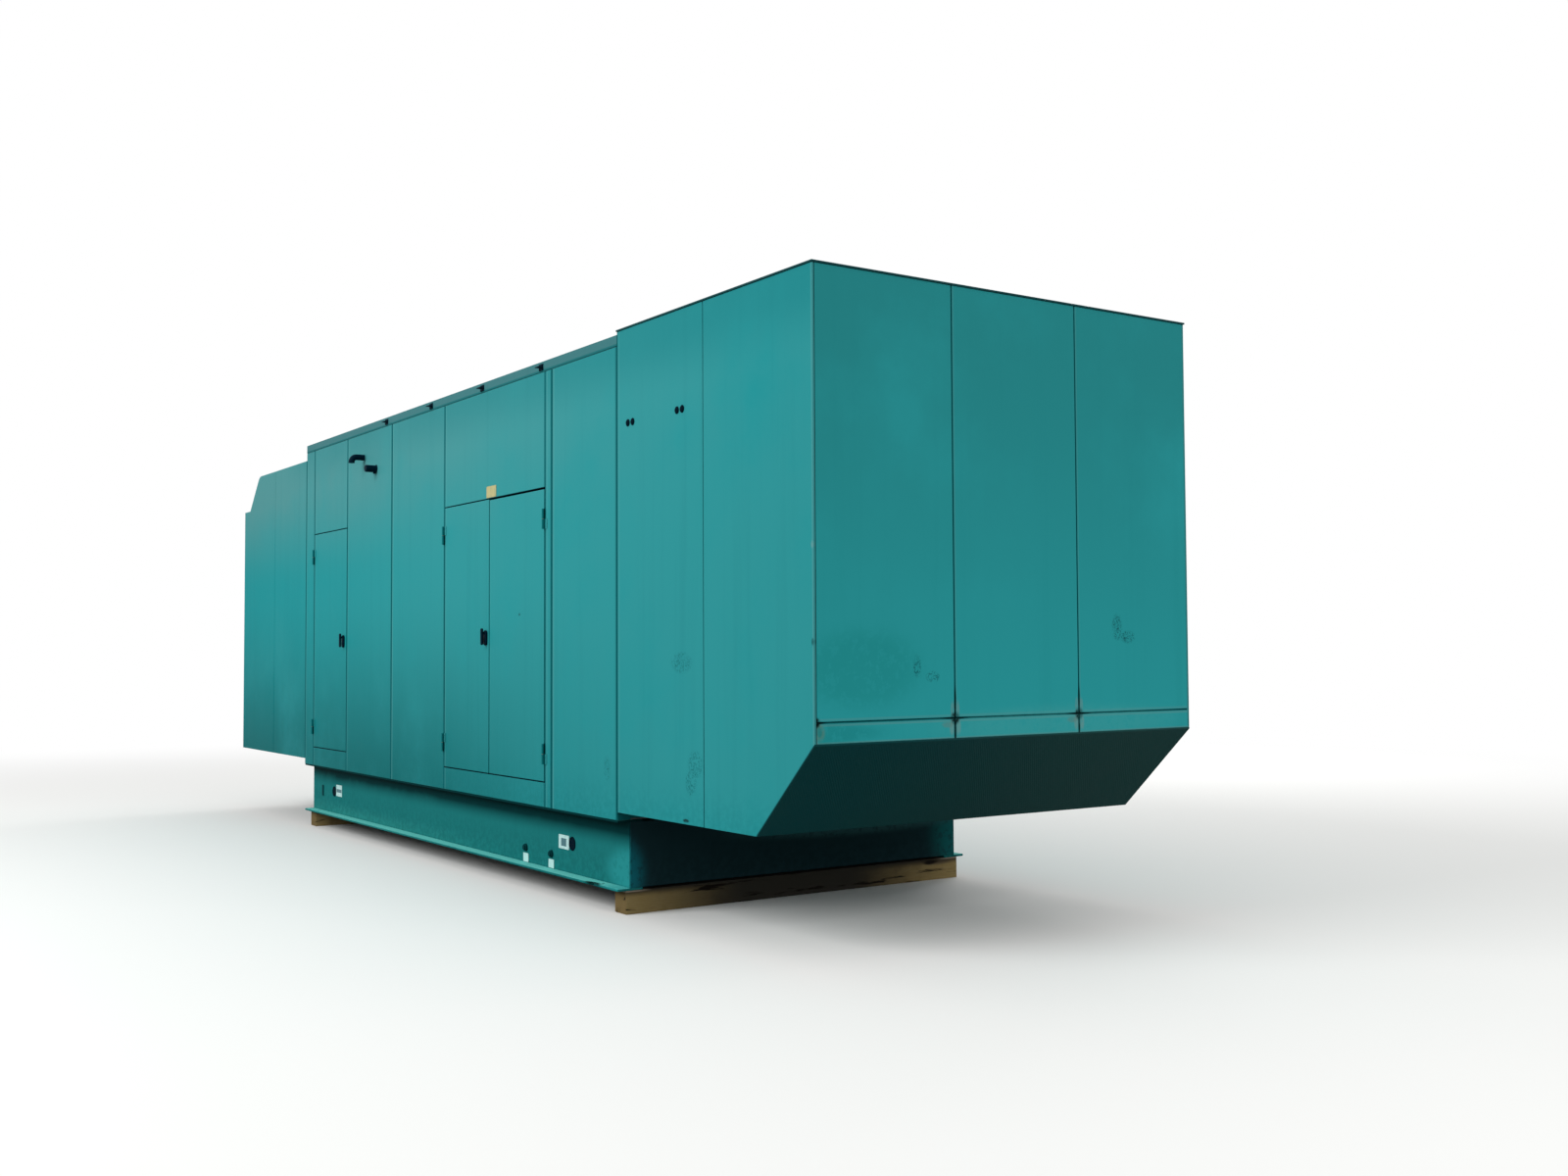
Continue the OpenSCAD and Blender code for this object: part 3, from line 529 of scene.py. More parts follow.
# Dark colours for dirt and painted shade in seams and crevices, a pale one for painted highlights
# on folds, and soot for dirt spots
CREVICE, SEAM, SOOT, FOLD_HIGHLIGHT = "#02282B", "#07686C", "#020E0F", "#5FA6A6"
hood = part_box("intake_end_strips")[0].z            # foot of the strips
flange_top = skid_lo.z + 16 * MM
ALL_ALONG = (-100, -99)                            # a film's reach that is the whole length


def on_end(y, up):
    """A place on the intake end, up from the joint over its strips."""
    return end_face, y, strip_top + up


def end_lines():
    """Dark lines in the seams of the intake end, dirt and painted shade, with painted highlights on
    the folds beside them and along the strips' foot, and painted shade down the corner with the
    front.
    """
    upright = [("Y", y + shift, reach, shade, strength) for y in end_seams
               for shift, reach, shade, strength in ((0, 8 * MM, SEAM, 0.85),
                                                     (11 * MM, 6 * MM, FOLD_HIGHLIGHT, 0.3))]
    return upright + [("Z", strip_top - 14 * MM, 9 * MM, FOLD_HIGHLIGHT, 0.6),
                      ("Z", strip_top + 14 * MM, 9 * MM, FOLD_HIGHLIGHT, 0.4),
                      ("Z", strip_top, 9 * MM, SEAM, 0.85),
                      ("Z", hood + 11 * MM, 11 * MM, FOLD_HIGHLIGHT, 0.7),
                      ("Y", face + 5 * MM, 9 * MM, SEAM, 0.7)]


def end_stains():
    """Dirt at the crossings of the seams and the joint over the strips, rubbed paler
    round them, and at the joint's end on the front's corner."""
    found = [(on_end(0.35, -0.05), (1, 2.9, 0.3), "#55B8B8", 0.3),
             (on_end(face, -0.06), (1, 1.3, 0.16), "#007F7F", 0.35)]
    for y in end_seams:
        for side in (-1, 1):
            found += [(on_end(y + side * 24 * MM, -0.05), (1, 0.05, 0.13), "#7FA8A4", 0.55),
                      (on_end(y + side * 19 * MM, 0.05), (1, 0.04, 0.13), "#6FA3A3", 0.6)]
        at = on_end(y, 0)
        found += [(on_end(y - 55 * MM, -0.035), (1, 0.12, 0.05), "#6E8F86", 0.5),
                  (on_end(y, 0.09), (1, 0.024, 0.26), "#03211F", 0.9),
                  (on_end(y, -0.06), (1, 0.028, 0.3), "#03211F", 0.8),
                  (at, (1, 0.3, 0.02), SOOT, 0.9), (at, (1, 0.09, 0.1), SOOT, 1)]
    corner = on_end(face + 12 * MM, 0)
    bruise = on_end(face + 34 * MM, -0.05)
    smudge = on_end(face + 0.32, 0.28)
    return found + [(bruise, (1, 0.1, 0.13), "#6E8F76", 0.5),
                    (bruise, (1, 0.05, 0.08), "#2A9090", 0.9),
                    (corner, (1, 0.07, 0.08), SOOT, 1), (corner, (1, 0.2, 0.02), SOOT, 0.9),
                    (on_end(face + 8 * MM, -0.12), (1, 0.04, 0.24), "#7FACA9", 0.5),
                    (smudge, (1, 1.2, 0.62), "#068680", 0.3)]


def end_scuffs():
    """Hairline scratches on the intake end's panels."""
    return [((end_face, y, z), (1, w, h), "#0F5A5E", 0.9)
            for y, z, w, h in ((0.81, 1.80, 0.11, 0.2), (0.9, 1.74, 0.16, 0.1),
                               (-0.75, 1.58, 0.07, 0.16), (-0.64, 1.52, 0.12, 0.08))]


def side_scuffs():
    """Hairline scratches on the intake plenum's front."""
    return [((x, face, z), (w, 1, h), "#15696D", 0.8)
            for x, z, w, h in ((4.14, 1.01, 0.22, 0.2), (4.09, 0.9, 0.16, 0.2),
                               (3.98, 1.6, 0.3, 0.16), (3.05, 0.92, 0.12, 0.2))]


def wall_lines():
    """Dark lines in the upright seams between the front's panels, dirt and painted shade, with
    painted highlights on the folds beside them and at the corner with the intake end.
    """
    levels = {round(corner.x, 3)
              for node in ("front_wall_left", "front_wall_middle", "front_wall_right")
              for box in solids(node) for corner in box}
    found = [("X", end_face - 6 * MM, 9 * MM, FOLD_HIGHLIGHT, 0.4)]
    for level in sorted(levels):
        found += [("X", level + 30 * MM, 12 * MM, FOLD_HIGHLIGHT, 0.2), ("X", level, 24 * MM, SEAM, 0.85)]
    return found


def wall_stains():
    """A rubbed foot, a touched-up scratch on a leaf and chips on the front's last corner."""
    return [((4.03, face, 0.672), (0.1, 1, 0.03), "#0A2A2C", 0.9),
            ((1.724, face, 1.936), (0.05, 1, 0.03), "#155F62", 0.8),
            ((end_face - 0.01, face, 2.224), (0.03, 1, 0.06), "#6FA3A3", 0.8),
            ((end_face - 0.01, face, 1.712), (0.03, 1, 0.06), "#0F4A4C", 0.8)]


def skid_stains():
    """A dark mark on the flange, and the rail's paler end."""
    return [((2.835, skid_lo.y, flange_top), (0.3, 0.1, 0.05), "#04201F", 1),
            ((skid_hi.x, skid_lo.y, 0.27), (0.9, 1, 0.42), "#2E9A9C", 0.75)]


def skid_end_painted_light():
    """The end plate is paler where it catches light past the plenum, at either side."""
    return [((skid_hi.x, 1.5, 0.36), (1, 1.0, 1.2), "#1D7476", 0.9),
            ((skid_hi.x, 0.5, 0.47), (1, 3.0, 0.26), "#3E7073", 0.8),
            ((skid_hi.x, -1.46, 0.26), (1, 0.6, 0.7), "#1F8492", 1)]


finishes = {
    "walls": enamel("wall_enamel", TEAL, GRIME_AND_SHADE, deck,
                    # Films: a redder tint towards the intake end; paler and greyer up high and
                    # towards the discharge end, fading and a painted reflection of the sky; darker
                    # low down and towards the discharge end, dirt and a painted reflection of the
                    # dark ground; and a painted shade under the eaves, short of the discharge
                    # plenum
                    films=[(INTAKE_TINT, (0, 1), (-4.5, 1.5), 1), (FADE_AND_SKY_SHEEN, (2.3, 3.6), (6, -4), 1.35),
                           (GRIME_AND_SHADE, (2.3, 0.2), (4.5, -1), 1.05),
                           (SHADED, (eave - 0.42, eave), (-4.2, -3.0), 0.5)],
                    muddy=0.2, lines=wall_lines(), stains_and_painted_light=wall_stains(), scuffs=side_scuffs()),
    # The intake end's own copy of the wall paint, paler than the walls' and darker towards the top:
    # painted light and painted shade for how the light falls on this end
    "end": enamel("intake_end_enamel_painted_light", "#30AEB3", "#17888C", strip_top - 0.4,
                  films=[("#2B979A", (strip_top - 0.4, eave), ALL_ALONG, 1.0)], streaky=0.1,
                  lines=end_lines(), stains_and_painted_light=end_stains(), scuffs=end_scuffs(), crevices=0.6),
    "cap": enamel("roof_cap_enamel", "#1C4B4E", "#123335", deck, dust_and_highlight="#86A5A2"),
    "roof": enamel("roof_enamel", "#578E8F", "#3C6F70", deck, dust_and_highlight="#86A5A2"),
    "trim": enamel("edge_trim_enamel", "#407A7E", "#2C6064", deck, dust_and_highlight="#86A5A2",
                   # A dark line along the trim's lower edge: painted shade under it
                   lines=[("Z", trim_foot, 20 * MM, SEAM, 0.85)]),
    # A painted highlight on the flange's top, a paler lower web towards the discharge end, and a
    # painted shadow under the walls along the web's top
    "skid": enamel("skid_enamel", "#1E7979", "#0E5252", skid_lo.z, dust_and_highlight="#6ED2CA", gloss=0.004,
                   films=[("#318C88", (0.3, 0.17), (1.6, -1.5), 0.8),
                          ("#063638", (skid_hi.z - 0.21, skid_hi.z - 0.03), ALL_ALONG, 1.4)],
                   stains_and_painted_light=skid_stains()),
    # A dark copy of the skid paint for the end plates: painted shade under the plenum, with patches
    # of painted light at its sides
    "skid_end": enamel("skid_end_enamel_painted_shade", "#213C42", "#13282B", skid_lo.z, gloss=0.004,
                       stains_and_painted_light=skid_end_painted_light()),
    # A darker copy of the wall paint for the hinge barrels: painted shade in the gaps and on their
    # shaded sides
    "hinge": enamel("hinge_enamel_painted_shade", "#0F7276", "#0B6064", deck, crevices=0.2),
    "black": stove_enamel("black_stove_enamel", "#001C2A", "#04283A", 0.5),
    "rubber": moulded_rubber("epdm_rubber", "#001420", "#07222E"),
    "plug": moulded_rubber("painted_epdm_rubber", "#033A3E", "#14494C"),
    "zinc": plated_steel("zinc_plate", "#B4B8B6", "#85898A"),
    "bronze": plated_steel("bronze", "#A87B45", "#6E5230"),
    "white": label_plastic("blank_white_label", "#BFE6E4", "#7FB4B2"),
    "slate": label_plastic("slate_label_field", "#3C6F78", "#23505A"),
    "yellow": label_plastic("blank_yellow_label", "#BDB47A", "#8C9A78"),
    "tread": tread_plate("painted_tread_plate"),
    "screen": wire_cloth("painted_wire_cloth"),
}


# ---- pieces -----------------------------------------------------------------

def sheet_work():
    """Walls, roofs, plenums, stops and doors: folded sheet with the CAD's shape."""
    for node in ("front_wall_left", "front_wall_over_personnel_door", "front_wall_middle",
                 "front_wall_over_double_door", "front_wall_right", "front_wall_sills",
                 "rear_wall", "intake_front_side", "intake_rear_side", "discharge_front_side",
                 "discharge_rear_side", "discharge_end_panels", "discharge_ledge",
                 "intake_floor", "discharge_floor", "intake_portal", "discharge_portal",
                 "personnel_door_stop", "double_door_stop"):
        dress(node, "walls")
    # The intake end has its own copy of the wall paint, with painted light and painted shade
    for node in ("intake_end_panels", "intake_end_strips"):
        dress(node, "end")
    for node, finish in (("main_roof", "roof"), ("intake_roof", "cap"), ("discharge_roof", "roof")):
        dress(node, finish, edge=2.5 * MM)
    dress("roof_edge_trims", "trim", edge=1.2 * MM)
    dress("intake_screen", "screen", edge=2 * MM)
    for node in LEAVES:
        leaf = dress(node, "walls", fine=0.8 * MM, long_edge=0.3)
        # The barrels take the darker hinge finish: painted shade
        paint(leaf, "hinge", on_hinge)


def skid():
    """Rails, cross members and end plates of the skid, and the floor on them."""
    for node in ("skid_rails", "skid_crossmembers"):
        dress(node, "skid", edge=3 * MM)
    # The end plates take a darker copy of the skid paint: painted shade under the plenum
    dress("skid_ends", "skid_end", edge=2 * MM)
    dress("deck_floor", "tread", edge=2 * MM)


def weld_beads():
    """Fillet welds, 8 mm wide and uneven, round the skid's end plates."""
    bm = bmesh.new()
    for lo, hi in solids("skid_ends"):
        x = hi.x - 2 * MM if hi.x > 0 else lo.x + 2 * MM
        tall, rows = hi.z - lo.z, 90
        for y in (lo.y, hi.y):
            bar = turned(bm, (x, y, lo.z), UP,
                         [(0, 0)] + [(5 * MM, tall * k / rows) for k in range(rows + 1)]
                         + [(0, tall)], steps=10)
            for v in bar:
                centre = Vector((x, y, v.co.z))
                v.co = centre + (v.co - centre) * (0.85 + 0.5 * noise.noise(v.co * 90))
    # The welds take the end plates' darker finish: painted shade
    finish_piece("skid_weld_beads", bm, "skid_end", body_of("skid_ends"))


def timbers():
    """Bearing timbers, sawn a little unevenly, with their corners broken."""
    for side, (lo, hi) in zip(("discharge", "intake"), solids("timbers")):
        finishes[side] = sawn_softwood(side + "_sawn_softwood", lo, hi)
        bm = bmesh.new()
        block(bm, lo, hi, 4 * MM)
        lengthwise = [e for e in bm.edges if e.calc_length() > 0.9 * (hi.y - lo.y)]
        bmesh.ops.subdivide_edges(bm, edges=lengthwise, cuts=80, use_grid_fill=True)
        middle = (lo.x + hi.x) / 2
        for v in bm.verts:
            slim = 0.988 + 0.012 * noise.noise(v.co * 6)
            v.co.x = middle + (v.co.x - middle) * slim
        finish_piece(side + "_timber", bm, side, body_of("timbers"), ["timbers"])


def hinges():
    """Lift-off hinges: lower halves with bronze washers on them, and screws in both
    halves' straps."""
    halves = dress("hinge_lower_halves", "walls", edge=1.2 * MM, fine=0.6 * MM,
                   long_edge=20 * MM)
    # The barrels take the darker hinge finish: painted shade
    paint(halves, "hinge", on_hinge)
    half, gap = 69 * MM, 2 * MM                    # height of each half, and between them
    strap = face - 4 * MM                          # front of the straps
    aside = 25 * MM                                # from the pin to the screws
    bore, rim, thick = 5.3 * MM, 8.6 * MM, 1.2 * MM    # the washers
    washers, wall_screws = bmesh.new(), bmesh.new()
    for joint in leaf_joints:
        x, y = joint["pos_m"][:2]
        side = -joint["axis"][2]                   # from the wall to the leaf along X
        leaf_screws = bmesh.new()
        for lo, hi in solids("hinge_lower_halves"):
            if not lo.x < x < hi.x:
                continue
            split = lo.z + half
            turned(washers, (x, y, split + 0.4 * MM), UP,
                   [(bore, 0), (rim, 0), (rim, thick), (bore, thick), (bore, 0)], steps=32)
            for up in (16 * MM, 53 * MM):
                button_screw(wall_screws, (x - side * aside, strap, lo.z + up), FRONT)
                button_screw(leaf_screws, (x + side * aside, strap, split + gap + up), FRONT)
        finish_piece(joint["child"] + "_hinge_screws", leaf_screws, "walls", joint["child"])
    finish_piece("hinge_washers", washers, "bronze", "enclosure")
    finish_piece("hinge_wall_screws", wall_screws, "walls", "enclosure")


def capsule(bm, centre, half_width, top, bottom, thick, edge):
    """An upright plate with round ends, from bottom to top round a centre on its back."""
    disc = bmesh.ops.create_circle(bm, cap_ends=True, segments=40, radius=half_width,
                                   matrix=Matrix.Rotation(math.radians(90), 4, "X"))["verts"]
    for v in disc:
        v.co.z += top - half_width if v.co.z > 0 else half_width + bottom
        v.co += centre
    made = bmesh.ops.extrude_face_region(bm, geom=[disc[0].link_faces[0]])["geom"]
    bmesh.ops.translate(bm, vec=FRONT * thick,
                        verts=[g for g in made if isinstance(g, bmesh.types.BMVert)])
    bmesh.ops.recalc_face_normals(bm, faces=bm.faces)
    rims = [e for e in bm.edges if e.calc_face_angle(0) > math.radians(60)]
    rounded(bm, rims, edge, 3)


def handle_plate(node):
    """Oval plate held by two screws, with a key cylinder under the lever's hub."""
    lo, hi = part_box(node)
    half, thick, screw_in = (hi.z - lo.z) / 2, hi.y - lo.y, 11 * MM
    back = back_middle(lo, hi)
    middle = back + FRONT * thick
    bm = bmesh.new()
    capsule(bm, back, (hi.x - lo.x) / 2, half, -half, thick, 9 * MM)
    for up in (half - screw_in, screw_in - half):
        button_screw(bm, middle + UP * up, FRONT, 4 * MM)
    finish_piece(node + ".finished", bm, "black", body_of(node), [node])
    key = bmesh.new()
    lock = middle - UP * 20 * MM
    turned(key, lock, FRONT, [(0, 0.4 * MM), (9 * MM, 0.4 * MM), (9.6 * MM, 2.4 * MM),
                              (11 * MM, 2.6 * MM), (12 * MM, 1.6 * MM), (12 * MM, 0)])
    turned(key, lock, FRONT, [(0, 1.8 * MM), (8.4 * MM, 1.8 * MM), (8.4 * MM, 0)])
    slit = Vector((0.9 * MM, 2.2 * MM, 4 * MM))
    block(key, lock - slit, lock + slit)
    finish_piece(node + ".key_cylinder", key, "black", body_of(node))


def lever(node, spindle, plate):
    """Drop lever: a rounded bar on a hub, with a grub screw in the hub."""
    lo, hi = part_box(node)
    back = Vector((spindle.x, plate.y - 10 * MM, spindle.z))   # the bar clears the plate by 10 mm
    neck, inner_end = 10 * MM, hi.y - back.y
    bm = bmesh.new()
    capsule(bm, back, (hi.x - lo.x) / 2, hi.z - spindle.z, lo.z - spindle.z, back.y - lo.y, 5 * MM)
    turned(bm, back, -FRONT,
           [(0, 0), (11 * MM, 0), (9 * MM, 3 * MM), (9 * MM, neck - 2 * MM),
            (12 * MM, neck - 1.5 * MM), (12 * MM, neck), (8 * MM, neck), (8 * MM, inner_end),
            (0, inner_end)])
    button_screw(bm, (spindle.x, lo.y, spindle.z), FRONT)
    finish_piece(node + ".finished", bm, "black", body_of(node), [node])


def locks():
    """Both handles with their plates, and a lock faceplate on each leaf's free edge."""
    for joint, node, plate, handle in zip(handle_joints, LEAVES,
                                          ("personnel_handle_plate", "double_handle_plate"),
                                          ("personnel_door_handle", "double_door_handle")):
        handle_plate(plate)
        spindle = Vector(joint["pos_m"])
        lever(handle, spindle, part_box(plate)[0])
        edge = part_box(node)[1].x
        proud, middle = edge + 1.5 * MM, face + 30 * MM    # its outer face, and its middle in Y
        foot, head = spindle.z - 115 * MM, spindle.z + 85 * MM
        bm = bmesh.new()
        block(bm, (edge - 0.5 * MM, middle - 12 * MM, foot), (proud, middle + 12 * MM, head),
              0.5 * MM, 1)
        for z in (foot + 10 * MM, head - 10 * MM):
            button_screw(bm, (proud, middle, z), ALONG, 3.5 * MM)
        finish_piece(joint["parent"] + "_lock_faceplate", bm, "zinc", joint["parent"])


def door_seals():
    """Black sponge strips on the stops, and at the head and sill of each doorway, where they also
    stand for the shade in the gaps as painted shade.
    """
    for node in ("personnel_door_stop", "double_door_stop"):
        lo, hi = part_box(node)
        bm = bmesh.new()
        wide, thick, lap = 14 * MM, 4 * MM, 12 * MM
        near = lo.y - thick
        inner_lo, inner_hi = lo + Vector((lap, 0, lap)), hi - Vector((lap, 0, lap))
        for x in (inner_lo.x, inner_hi.x - wide):
            block(bm, (x, near, inner_lo.z), (x + wide, lo.y, inner_hi.z), 1.8 * MM)
        for z in (inner_lo.z, inner_hi.z - wide):
            block(bm, (inner_lo.x + wide, near, z), (inner_hi.x - wide, lo.y, z + wide), 1.8 * MM)
        # The head and sill strips darken those gaps: painted shade
        low, front, back = 3 * MM, face + 4 * MM, face + 50 * MM   # of head and sill strips
        for z in (lo.z, hi.z - low):
            block(bm, (lo.x, front, z), (hi.x, back, z + low), 0.8 * MM)
        finish_piece(node + ".seals_and_gap_shade", bm, "rubber", "enclosure")


def door_liners():
    """Inner skins of the leaves, screwed on round their edges."""
    for node in LEAVES:
        lo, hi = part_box(node)
        margin, inset, rows = 44 * MM, 18 * MM, 5
        low = Vector((lo.x + margin, hi.y, lo.z + margin))
        high = Vector((hi.x - margin, hi.y + 2.5 * MM, hi.z - margin))
        bm = bmesh.new()
        block(bm, low, high, 1 * MM)
        for k in range(rows):
            z = low.z + inset + (high.z - low.z - 2 * inset) * k / (rows - 1)
            for x in (low.x + inset, high.x - inset):
                button_screw(bm, (x, high.y, z), -FRONT)
        finish_piece(node + ".liner", bm, "walls", body_of(node))


def wall_collar(bm, base, radius):
    """A thin ring round a pipe on the wall, held by three screws."""
    turned(bm, base, FRONT, [(radius - 4 * MM, 0), (radius + COLLAR, 0),
                             (radius + COLLAR, 3 * MM), (radius + COLLAR - 2 * MM, 5 * MM),
                             (radius - 4 * MM, 5 * MM), (radius - 4 * MM, 0)])
    for turn in (30, 150, 270):
        aside = Matrix.Rotation(math.radians(turn), 3, "Y") @ (UP * (radius + COLLAR / 2))
        button_screw(bm, base + aside + FRONT * 4.6 * MM, FRONT, 2.6 * MM)


def vent(bm, centre, radius, reach, foot):
    """Turned-down vent pipe: a hollow elbow of steel tube with a thickened mouth."""
    bend, wall = 44.2 * MM, 4 * MM
    level = reach - radius - bend                  # straight run out of the wall
    ring = bmesh.ops.create_circle(bm, segments=36, radius=radius,
                                   matrix=Matrix.Translation(centre)
                                   @ Matrix.Rotation(math.radians(90), 4, "X"))["verts"]
    rim = list({e for v in ring for e in v.link_edges})

    def run(edges, by):
        """Draws a rim out into a straight run, and gives the rim at its end."""
        made = bmesh.ops.extrude_edge_only(bm, edges=edges)["geom"]
        moved = {g for g in made if isinstance(g, bmesh.types.BMVert)}
        bmesh.ops.translate(bm, vec=by, verts=list(moved))
        return [g for g in made if isinstance(g, bmesh.types.BMEdge) and moved.issuperset(g.verts)]

    rim = run(rim, FRONT * level)
    pivot = centre + FRONT * level - UP * bend
    made = bmesh.ops.spin(bm, geom=list({v for e in rim for v in e.verts}) + rim, cent=pivot,
                          axis=ALONG, angle=math.radians(90), steps=14)["geom_last"]
    run([g for g in made if isinstance(g, bmesh.types.BMEdge)], -UP * (pivot.z - foot))
    bmesh.ops.remove_doubles(bm, verts=bm.verts, dist=0.01 * MM)
    bmesh.ops.recalc_face_normals(bm, faces=bm.faces)
    bmesh.ops.solidify(bm, geom=bm.faces, thickness=wall)
    bmesh.ops.recalc_face_normals(bm, faces=bm.faces)
    turned(bm, (centre.x, pivot.y - bend, foot), UP,
           [(radius - 1 * MM, 0), (radius + 2 * MM, 0), (radius + 2 * MM, 5 * MM),
            (radius - 1 * MM, 6 * MM), (radius - 1 * MM, 0)])


def fittings():
    """The vent and the capped stub beside it, each in a collar on the wall."""
    (vent_lo, vent_hi), (stub_lo, stub_hi) = solids("vent_fittings")
    radius = 26 * MM                               # of the vent pipe
    centre = Vector(((vent_lo.x + vent_hi.x) / 2, vent_hi.y, vent_hi.z - COLLAR - radius))
    bm = bmesh.new()
    vent(bm, centre, radius, centre.y - vent_lo.y, vent_lo.z)
    ring = bmesh.new()
    wall_collar(ring, centre, radius)
    finish_piece("vent_collar", ring, "walls", "enclosure")
    radius, out = 31 * MM, stub_hi.y - stub_lo.y   # of the stub
    centre = Vector(((stub_lo.x + stub_hi.x) / 2, stub_hi.y, stub_hi.z - COLLAR - radius))
    turned(bm, centre, FRONT, [(0, 0), (radius, 0), (radius, out - 6 * MM),
                               (radius - 6 * MM, out), (0, out)])
    wall_collar(bm, centre, radius)
    # Its drain nipple
    turned(bm, (centre.x, centre.y - 18 * MM, stub_lo.z), UP,
           [(7 * MM, 30 * MM), (7 * MM, 0), (11 * MM, 0), (11 * MM, 30 * MM)], steps=24)
    finish_piece("vent_and_stub", bm, "black", "enclosure", ["vent_fittings"])


def ports():
    """Plugs in the skid's web: large ones nearly flush round a recess, small ones with a
    hexagon on top, and a capped slot."""
    large, painted = bmesh.new(), bmesh.new()
    for lo, hi in solids("skid_ports"):
        base, out, radius = back_middle(lo, hi), hi.y - lo.y, (hi.x - lo.x) / 2
        if hi.z - lo.z > 3 * radius:
            block(painted, lo, hi, 2.5 * MM)
        elif radius > 30 * MM:
            turned(large, base, FRONT, [(0, 1.5 * MM), (0.84 * radius, 1.5 * MM),
                                        (0.88 * radius, out), (0.97 * radius, out),
                                        (radius, out - 1.5 * MM), (radius, 0), (0, 0)], steps=48)
        else:
            turned(painted, base, FRONT, [(0, out - 10 * MM), (0.92 * radius, out - 10 * MM),
                                          (radius, out - 12 * MM), (radius, 0), (0, 0)])
            turned(painted, base + FRONT * (out - 11 * MM), FRONT,
                   [(0, 0), (0.7 * radius, 0), (0.7 * radius, 10 * MM),
                    (0.6 * radius, 11 * MM), (0, 11 * MM)], steps=6)
    finish_piece("large_skid_plugs", large, "rubber", "enclosure", ["skid_ports"])
    finish_piece("painted_skid_plugs", painted, "plug", "enclosure", ["skid_ports"])


def tags():
    """Blank label plates with round corners, a raised rim and four rivets. The large ones on
    the skid have a darker field: a band across the far one, an inset panel on the near one."""
    for k, (lo, hi) in enumerate(solids("blank_tags")):
        bm = bmesh.new()
        block(bm, lo, hi)
        corners = [e for e in bm.edges if abs(e.verts[0].co.y - e.verts[1].co.y) > 1 * MM]
        rounded(bm, corners, 6 * MM, 4)
        front = min(bm.faces, key=lambda f: f.calc_center_median().y)
        for thickness, depth in ((1 * MM, 0), (2 * MM, -0.6 * MM)):
            bmesh.ops.inset_region(bm, faces=[front], thickness=thickness, depth=depth)
        rivet_in = 9 * MM                          # from the plate's edges to the rivets
        for x in (lo.x + rivet_in, hi.x - rivet_in):
            for z in (lo.z + rivet_in, hi.z - rivet_in):
                turned(bm, (x, lo.y, z), FRONT,
                       [(0, 1.2 * MM), (1.6 * MM, 1 * MM), (2.8 * MM, 0.2 * MM), (2.8 * MM, 0)],
                       steps=12)
        over_door, wide, high = lo.z > deck, hi.x - lo.x, hi.z - lo.z
        finish_piece("blank_tag_%d" % (k + 1), bm, "yellow" if over_door else "white",
                     "enclosure", ["blank_tags"])
        if wide > 100 * MM and not over_door:
            band, panel = (0.06, 0.94, 0.34, 0.63), (0.24, 0.74, 0.2, 0.76)
            left, right, low, top = band if lo.x < 0 else panel
            bm = bmesh.new()
            block(bm, (lo.x + left * wide, lo.y + 0.2 * MM, lo.z + low * high),
                  (lo.x + right * wide, hi.y, lo.z + top * high), 0.2 * MM)
            finish_piece("blank_tag_%d_field" % (k + 1), bm, "slate", "enclosure")


def plugs():
    """Domed rubber buttons in the intake plenum's side."""
    bm = bmesh.new()
    for lo, hi in solids("panel_plugs"):
        base, out, r = back_middle(lo, hi), hi.y - lo.y, (hi.x - lo.x) / 2
        turned(bm, base, FRONT, [(0, out), (0.35 * r, 0.97 * out), (0.7 * r, 0.8 * out),
                                 (0.9 * r, 0.5 * out), (r, 0.28 * out), (r, 0)])
    finish_piece("side_plugs", bm, "rubber", "enclosure", ["panel_plugs"])


def lugs():
    """Roof lugs, each held by two bolts through its back plate."""
    dress("roof_edge_lugs", "black", edge=1.5 * MM, fine=0.8 * MM,
          long_edge=30 * MM)
    bm = bmesh.new()
    for lo, hi in solids("roof_edge_lugs"):
        out = FRONT if lo.y < 0 else -FRONT
        plate = (hi.y if lo.y < 0 else lo.y) + out.y * 6 * MM
        for x in (lo.x + 13 * MM, hi.x - 13 * MM):
            for z in (lo.z + 10 * MM, hi.z - 10 * MM):
                hex_bolt(bm, (x, plate, z), out)
    finish_piece("roof_lug_bolts", bm, "black", "enclosure")


def roof_strips():
    """Cover strips over the joints of the main roof's sheets, in line with the lugs."""
    lo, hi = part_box("main_roof")
    half, high, inner = 30 * MM, 5 * MM, 52 * MM   # half width, height, and gap to the eaves
    bolts, first, aside = 10, 0.16, 18 * MM        # in a row, from the eaves, from the middle
    bm = bmesh.new()
    for x in sorted({round((a.x + b.x) / 2, 4) for a, b in solids("roof_edge_lugs")}):
        block(bm, (x - half, lo.y + inner, hi.z - 2 * MM), (x + half, hi.y - inner, hi.z + high),
              2.4 * MM)
        for k in range(bolts):
            y = lo.y + first + k * (hi.y - lo.y - 2 * first) / (bolts - 1)
            for s in (-1, 1):
                hex_bolt(bm, (x + s * aside, y, hi.z + high), UP)
    finish_piece("main_roof_cover_strips", bm, "roof", "enclosure")


# ---- camera, light and floor ------------------------------------------------

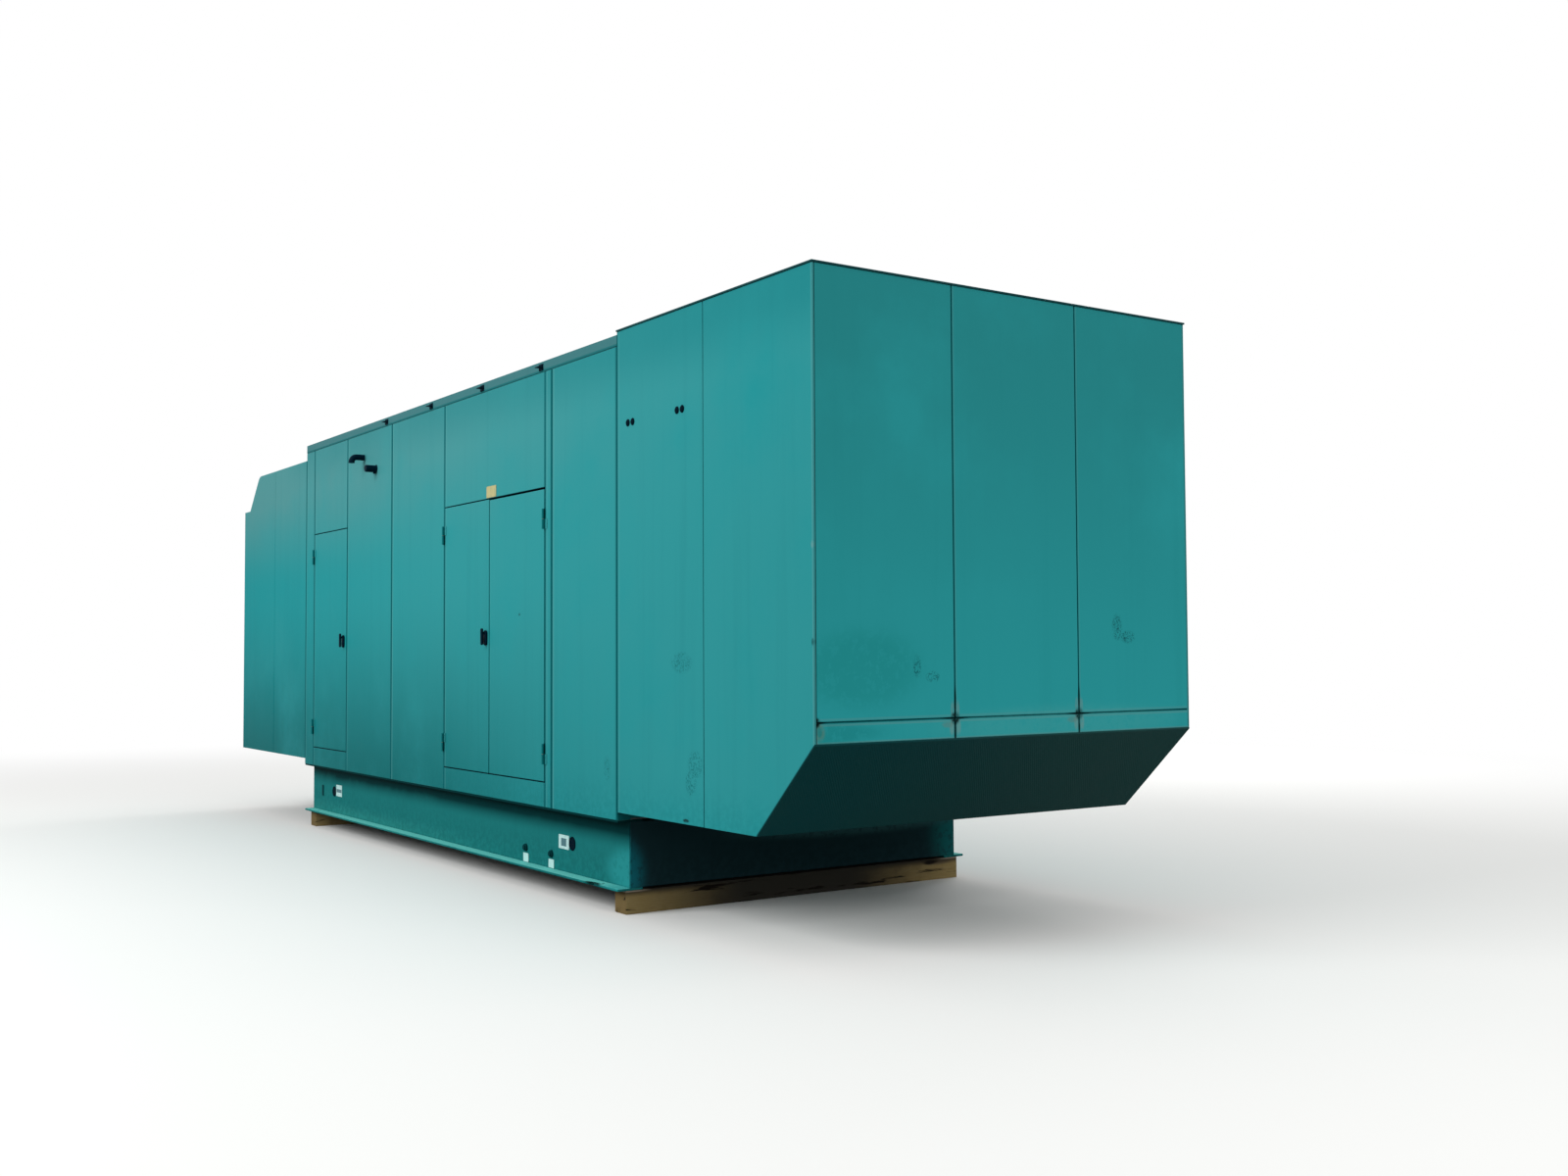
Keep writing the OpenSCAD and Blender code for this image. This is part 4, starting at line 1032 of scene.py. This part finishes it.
def camera():
    """A 35 mm lens at a standing person's eye height, off the front's intake end."""
    data = bpy.data.cameras.new("camera")
    data.sensor_fit = "HORIZONTAL"
    data.sensor_width = 36.0
    data.lens = 35.406
    data.clip_end = 200
    made = placed("camera", data)
    yaw, pitch, roll = math.radians(55.47), math.radians(2.338), math.radians(-0.30)
    ahead = Vector((-math.sin(yaw) * math.cos(pitch), math.cos(yaw) * math.cos(pitch),
                    math.sin(pitch)))
    level = Vector((math.cos(yaw), math.sin(yaw), 0))
    upright = level.cross(ahead)
    right = math.cos(roll) * level + math.sin(roll) * upright
    up = math.cos(roll) * upright - math.sin(roll) * level
    place = Matrix((right, up, -ahead)).transposed().to_4x4()
    place.translation = (11.863, -6.1245, 1.666)
    made.matrix_world = place
    bpy.context.scene.camera = made


def softbox(name, place, size, power):
    """A square lamp aimed at the middle of the enclosure."""
    data = bpy.data.lights.new(name, "AREA")
    data.shape = "SQUARE"
    data.size = size
    data.energy = power
    made = placed(name, data)
    made.location = place
    made.rotation_euler = (Vector((0, 0, 1.6)) - Vector(place)).to_track_quat("-Z", "Y").to_euler()


def background_ray(tree):
    """1 for rays that see the background directly, in a gloss or through glass."""
    rays = put(tree, "LightPath").outputs
    seen = put(tree, "Math", {0: rays["Is Camera Ray"], 1: rays["Is Glossy Ray"]},
               operation="MAXIMUM").outputs[0]
    return put(tree, "Math", {0: seen, 1: rays["Is Transmission Ray"]},
               operation="MAXIMUM").outputs[0]


def studio():
    """White all round for the eye, with a calmer sky lighting the set from everywhere."""
    world = bpy.data.worlds.new("studio")
    bpy.context.scene.world = world
    world.use_nodes = True
    tree = world.node_tree
    tree.nodes.clear()
    strength = put(tree, "Mix", {0: background_ray(tree), 2: 0.66, 3: 1.0}).outputs[0]
    sky = put(tree, "Background", {"Color": (1, 1, 1, 1), "Strength": strength})
    put(tree, "OutputWorld", {"Surface": sky.outputs[0]})
    softbox("key", (1, -15, 10), 9, 1700)
    softbox("end_fill", (16, 1, 7), 7, 330)
    softbox("rear_fill", (-6, 14, 8), 9, 800)


def floor():
    """A pale floor that fades to white far from the set and keeps the set's shadow."""
    bm = bmesh.new()
    bmesh.ops.create_grid(bm, x_segments=1, y_segments=1, size=120)
    mesh = mesh_of("floor", bm)
    material, tree, place = blank_material("pale_floor")
    shade = put(tree, "Mix",
                {0: background_ray(tree), 6: linear("#727270"), 7: linear("#F4F4F2")},
                data_type="RGBA").outputs[2]
    matt = put(tree, "BsdfDiffuse", {"Color": shade}).outputs[0]
    white = put(tree, "Emission", {"Color": (1, 1, 1, 1), "Strength": 1.0}).outputs[0]
    away = put(tree, "VectorMath", {0: place}, operation="LENGTH").outputs["Value"]
    near, far = 7, 18                              # the fade's start and end, in metres
    fade = mask(tree, away, near, far, within=background_ray(tree))
    mixed = put(tree, "MixShader", {0: fade, 1: matt, 2: white}).outputs[0]
    put(tree, "OutputMaterial", {"Surface": mixed})
    mesh.materials.append(material)
    placed("floor", mesh)


camera()
sheet_work()
skid()
weld_beads()
timbers()
hinges()
locks()
door_seals()
door_liners()
fittings()
ports()
tags()
plugs()
lugs()
roof_strips()
studio()
floor()
bpy.context.scene.view_settings.view_transform = "Standard"
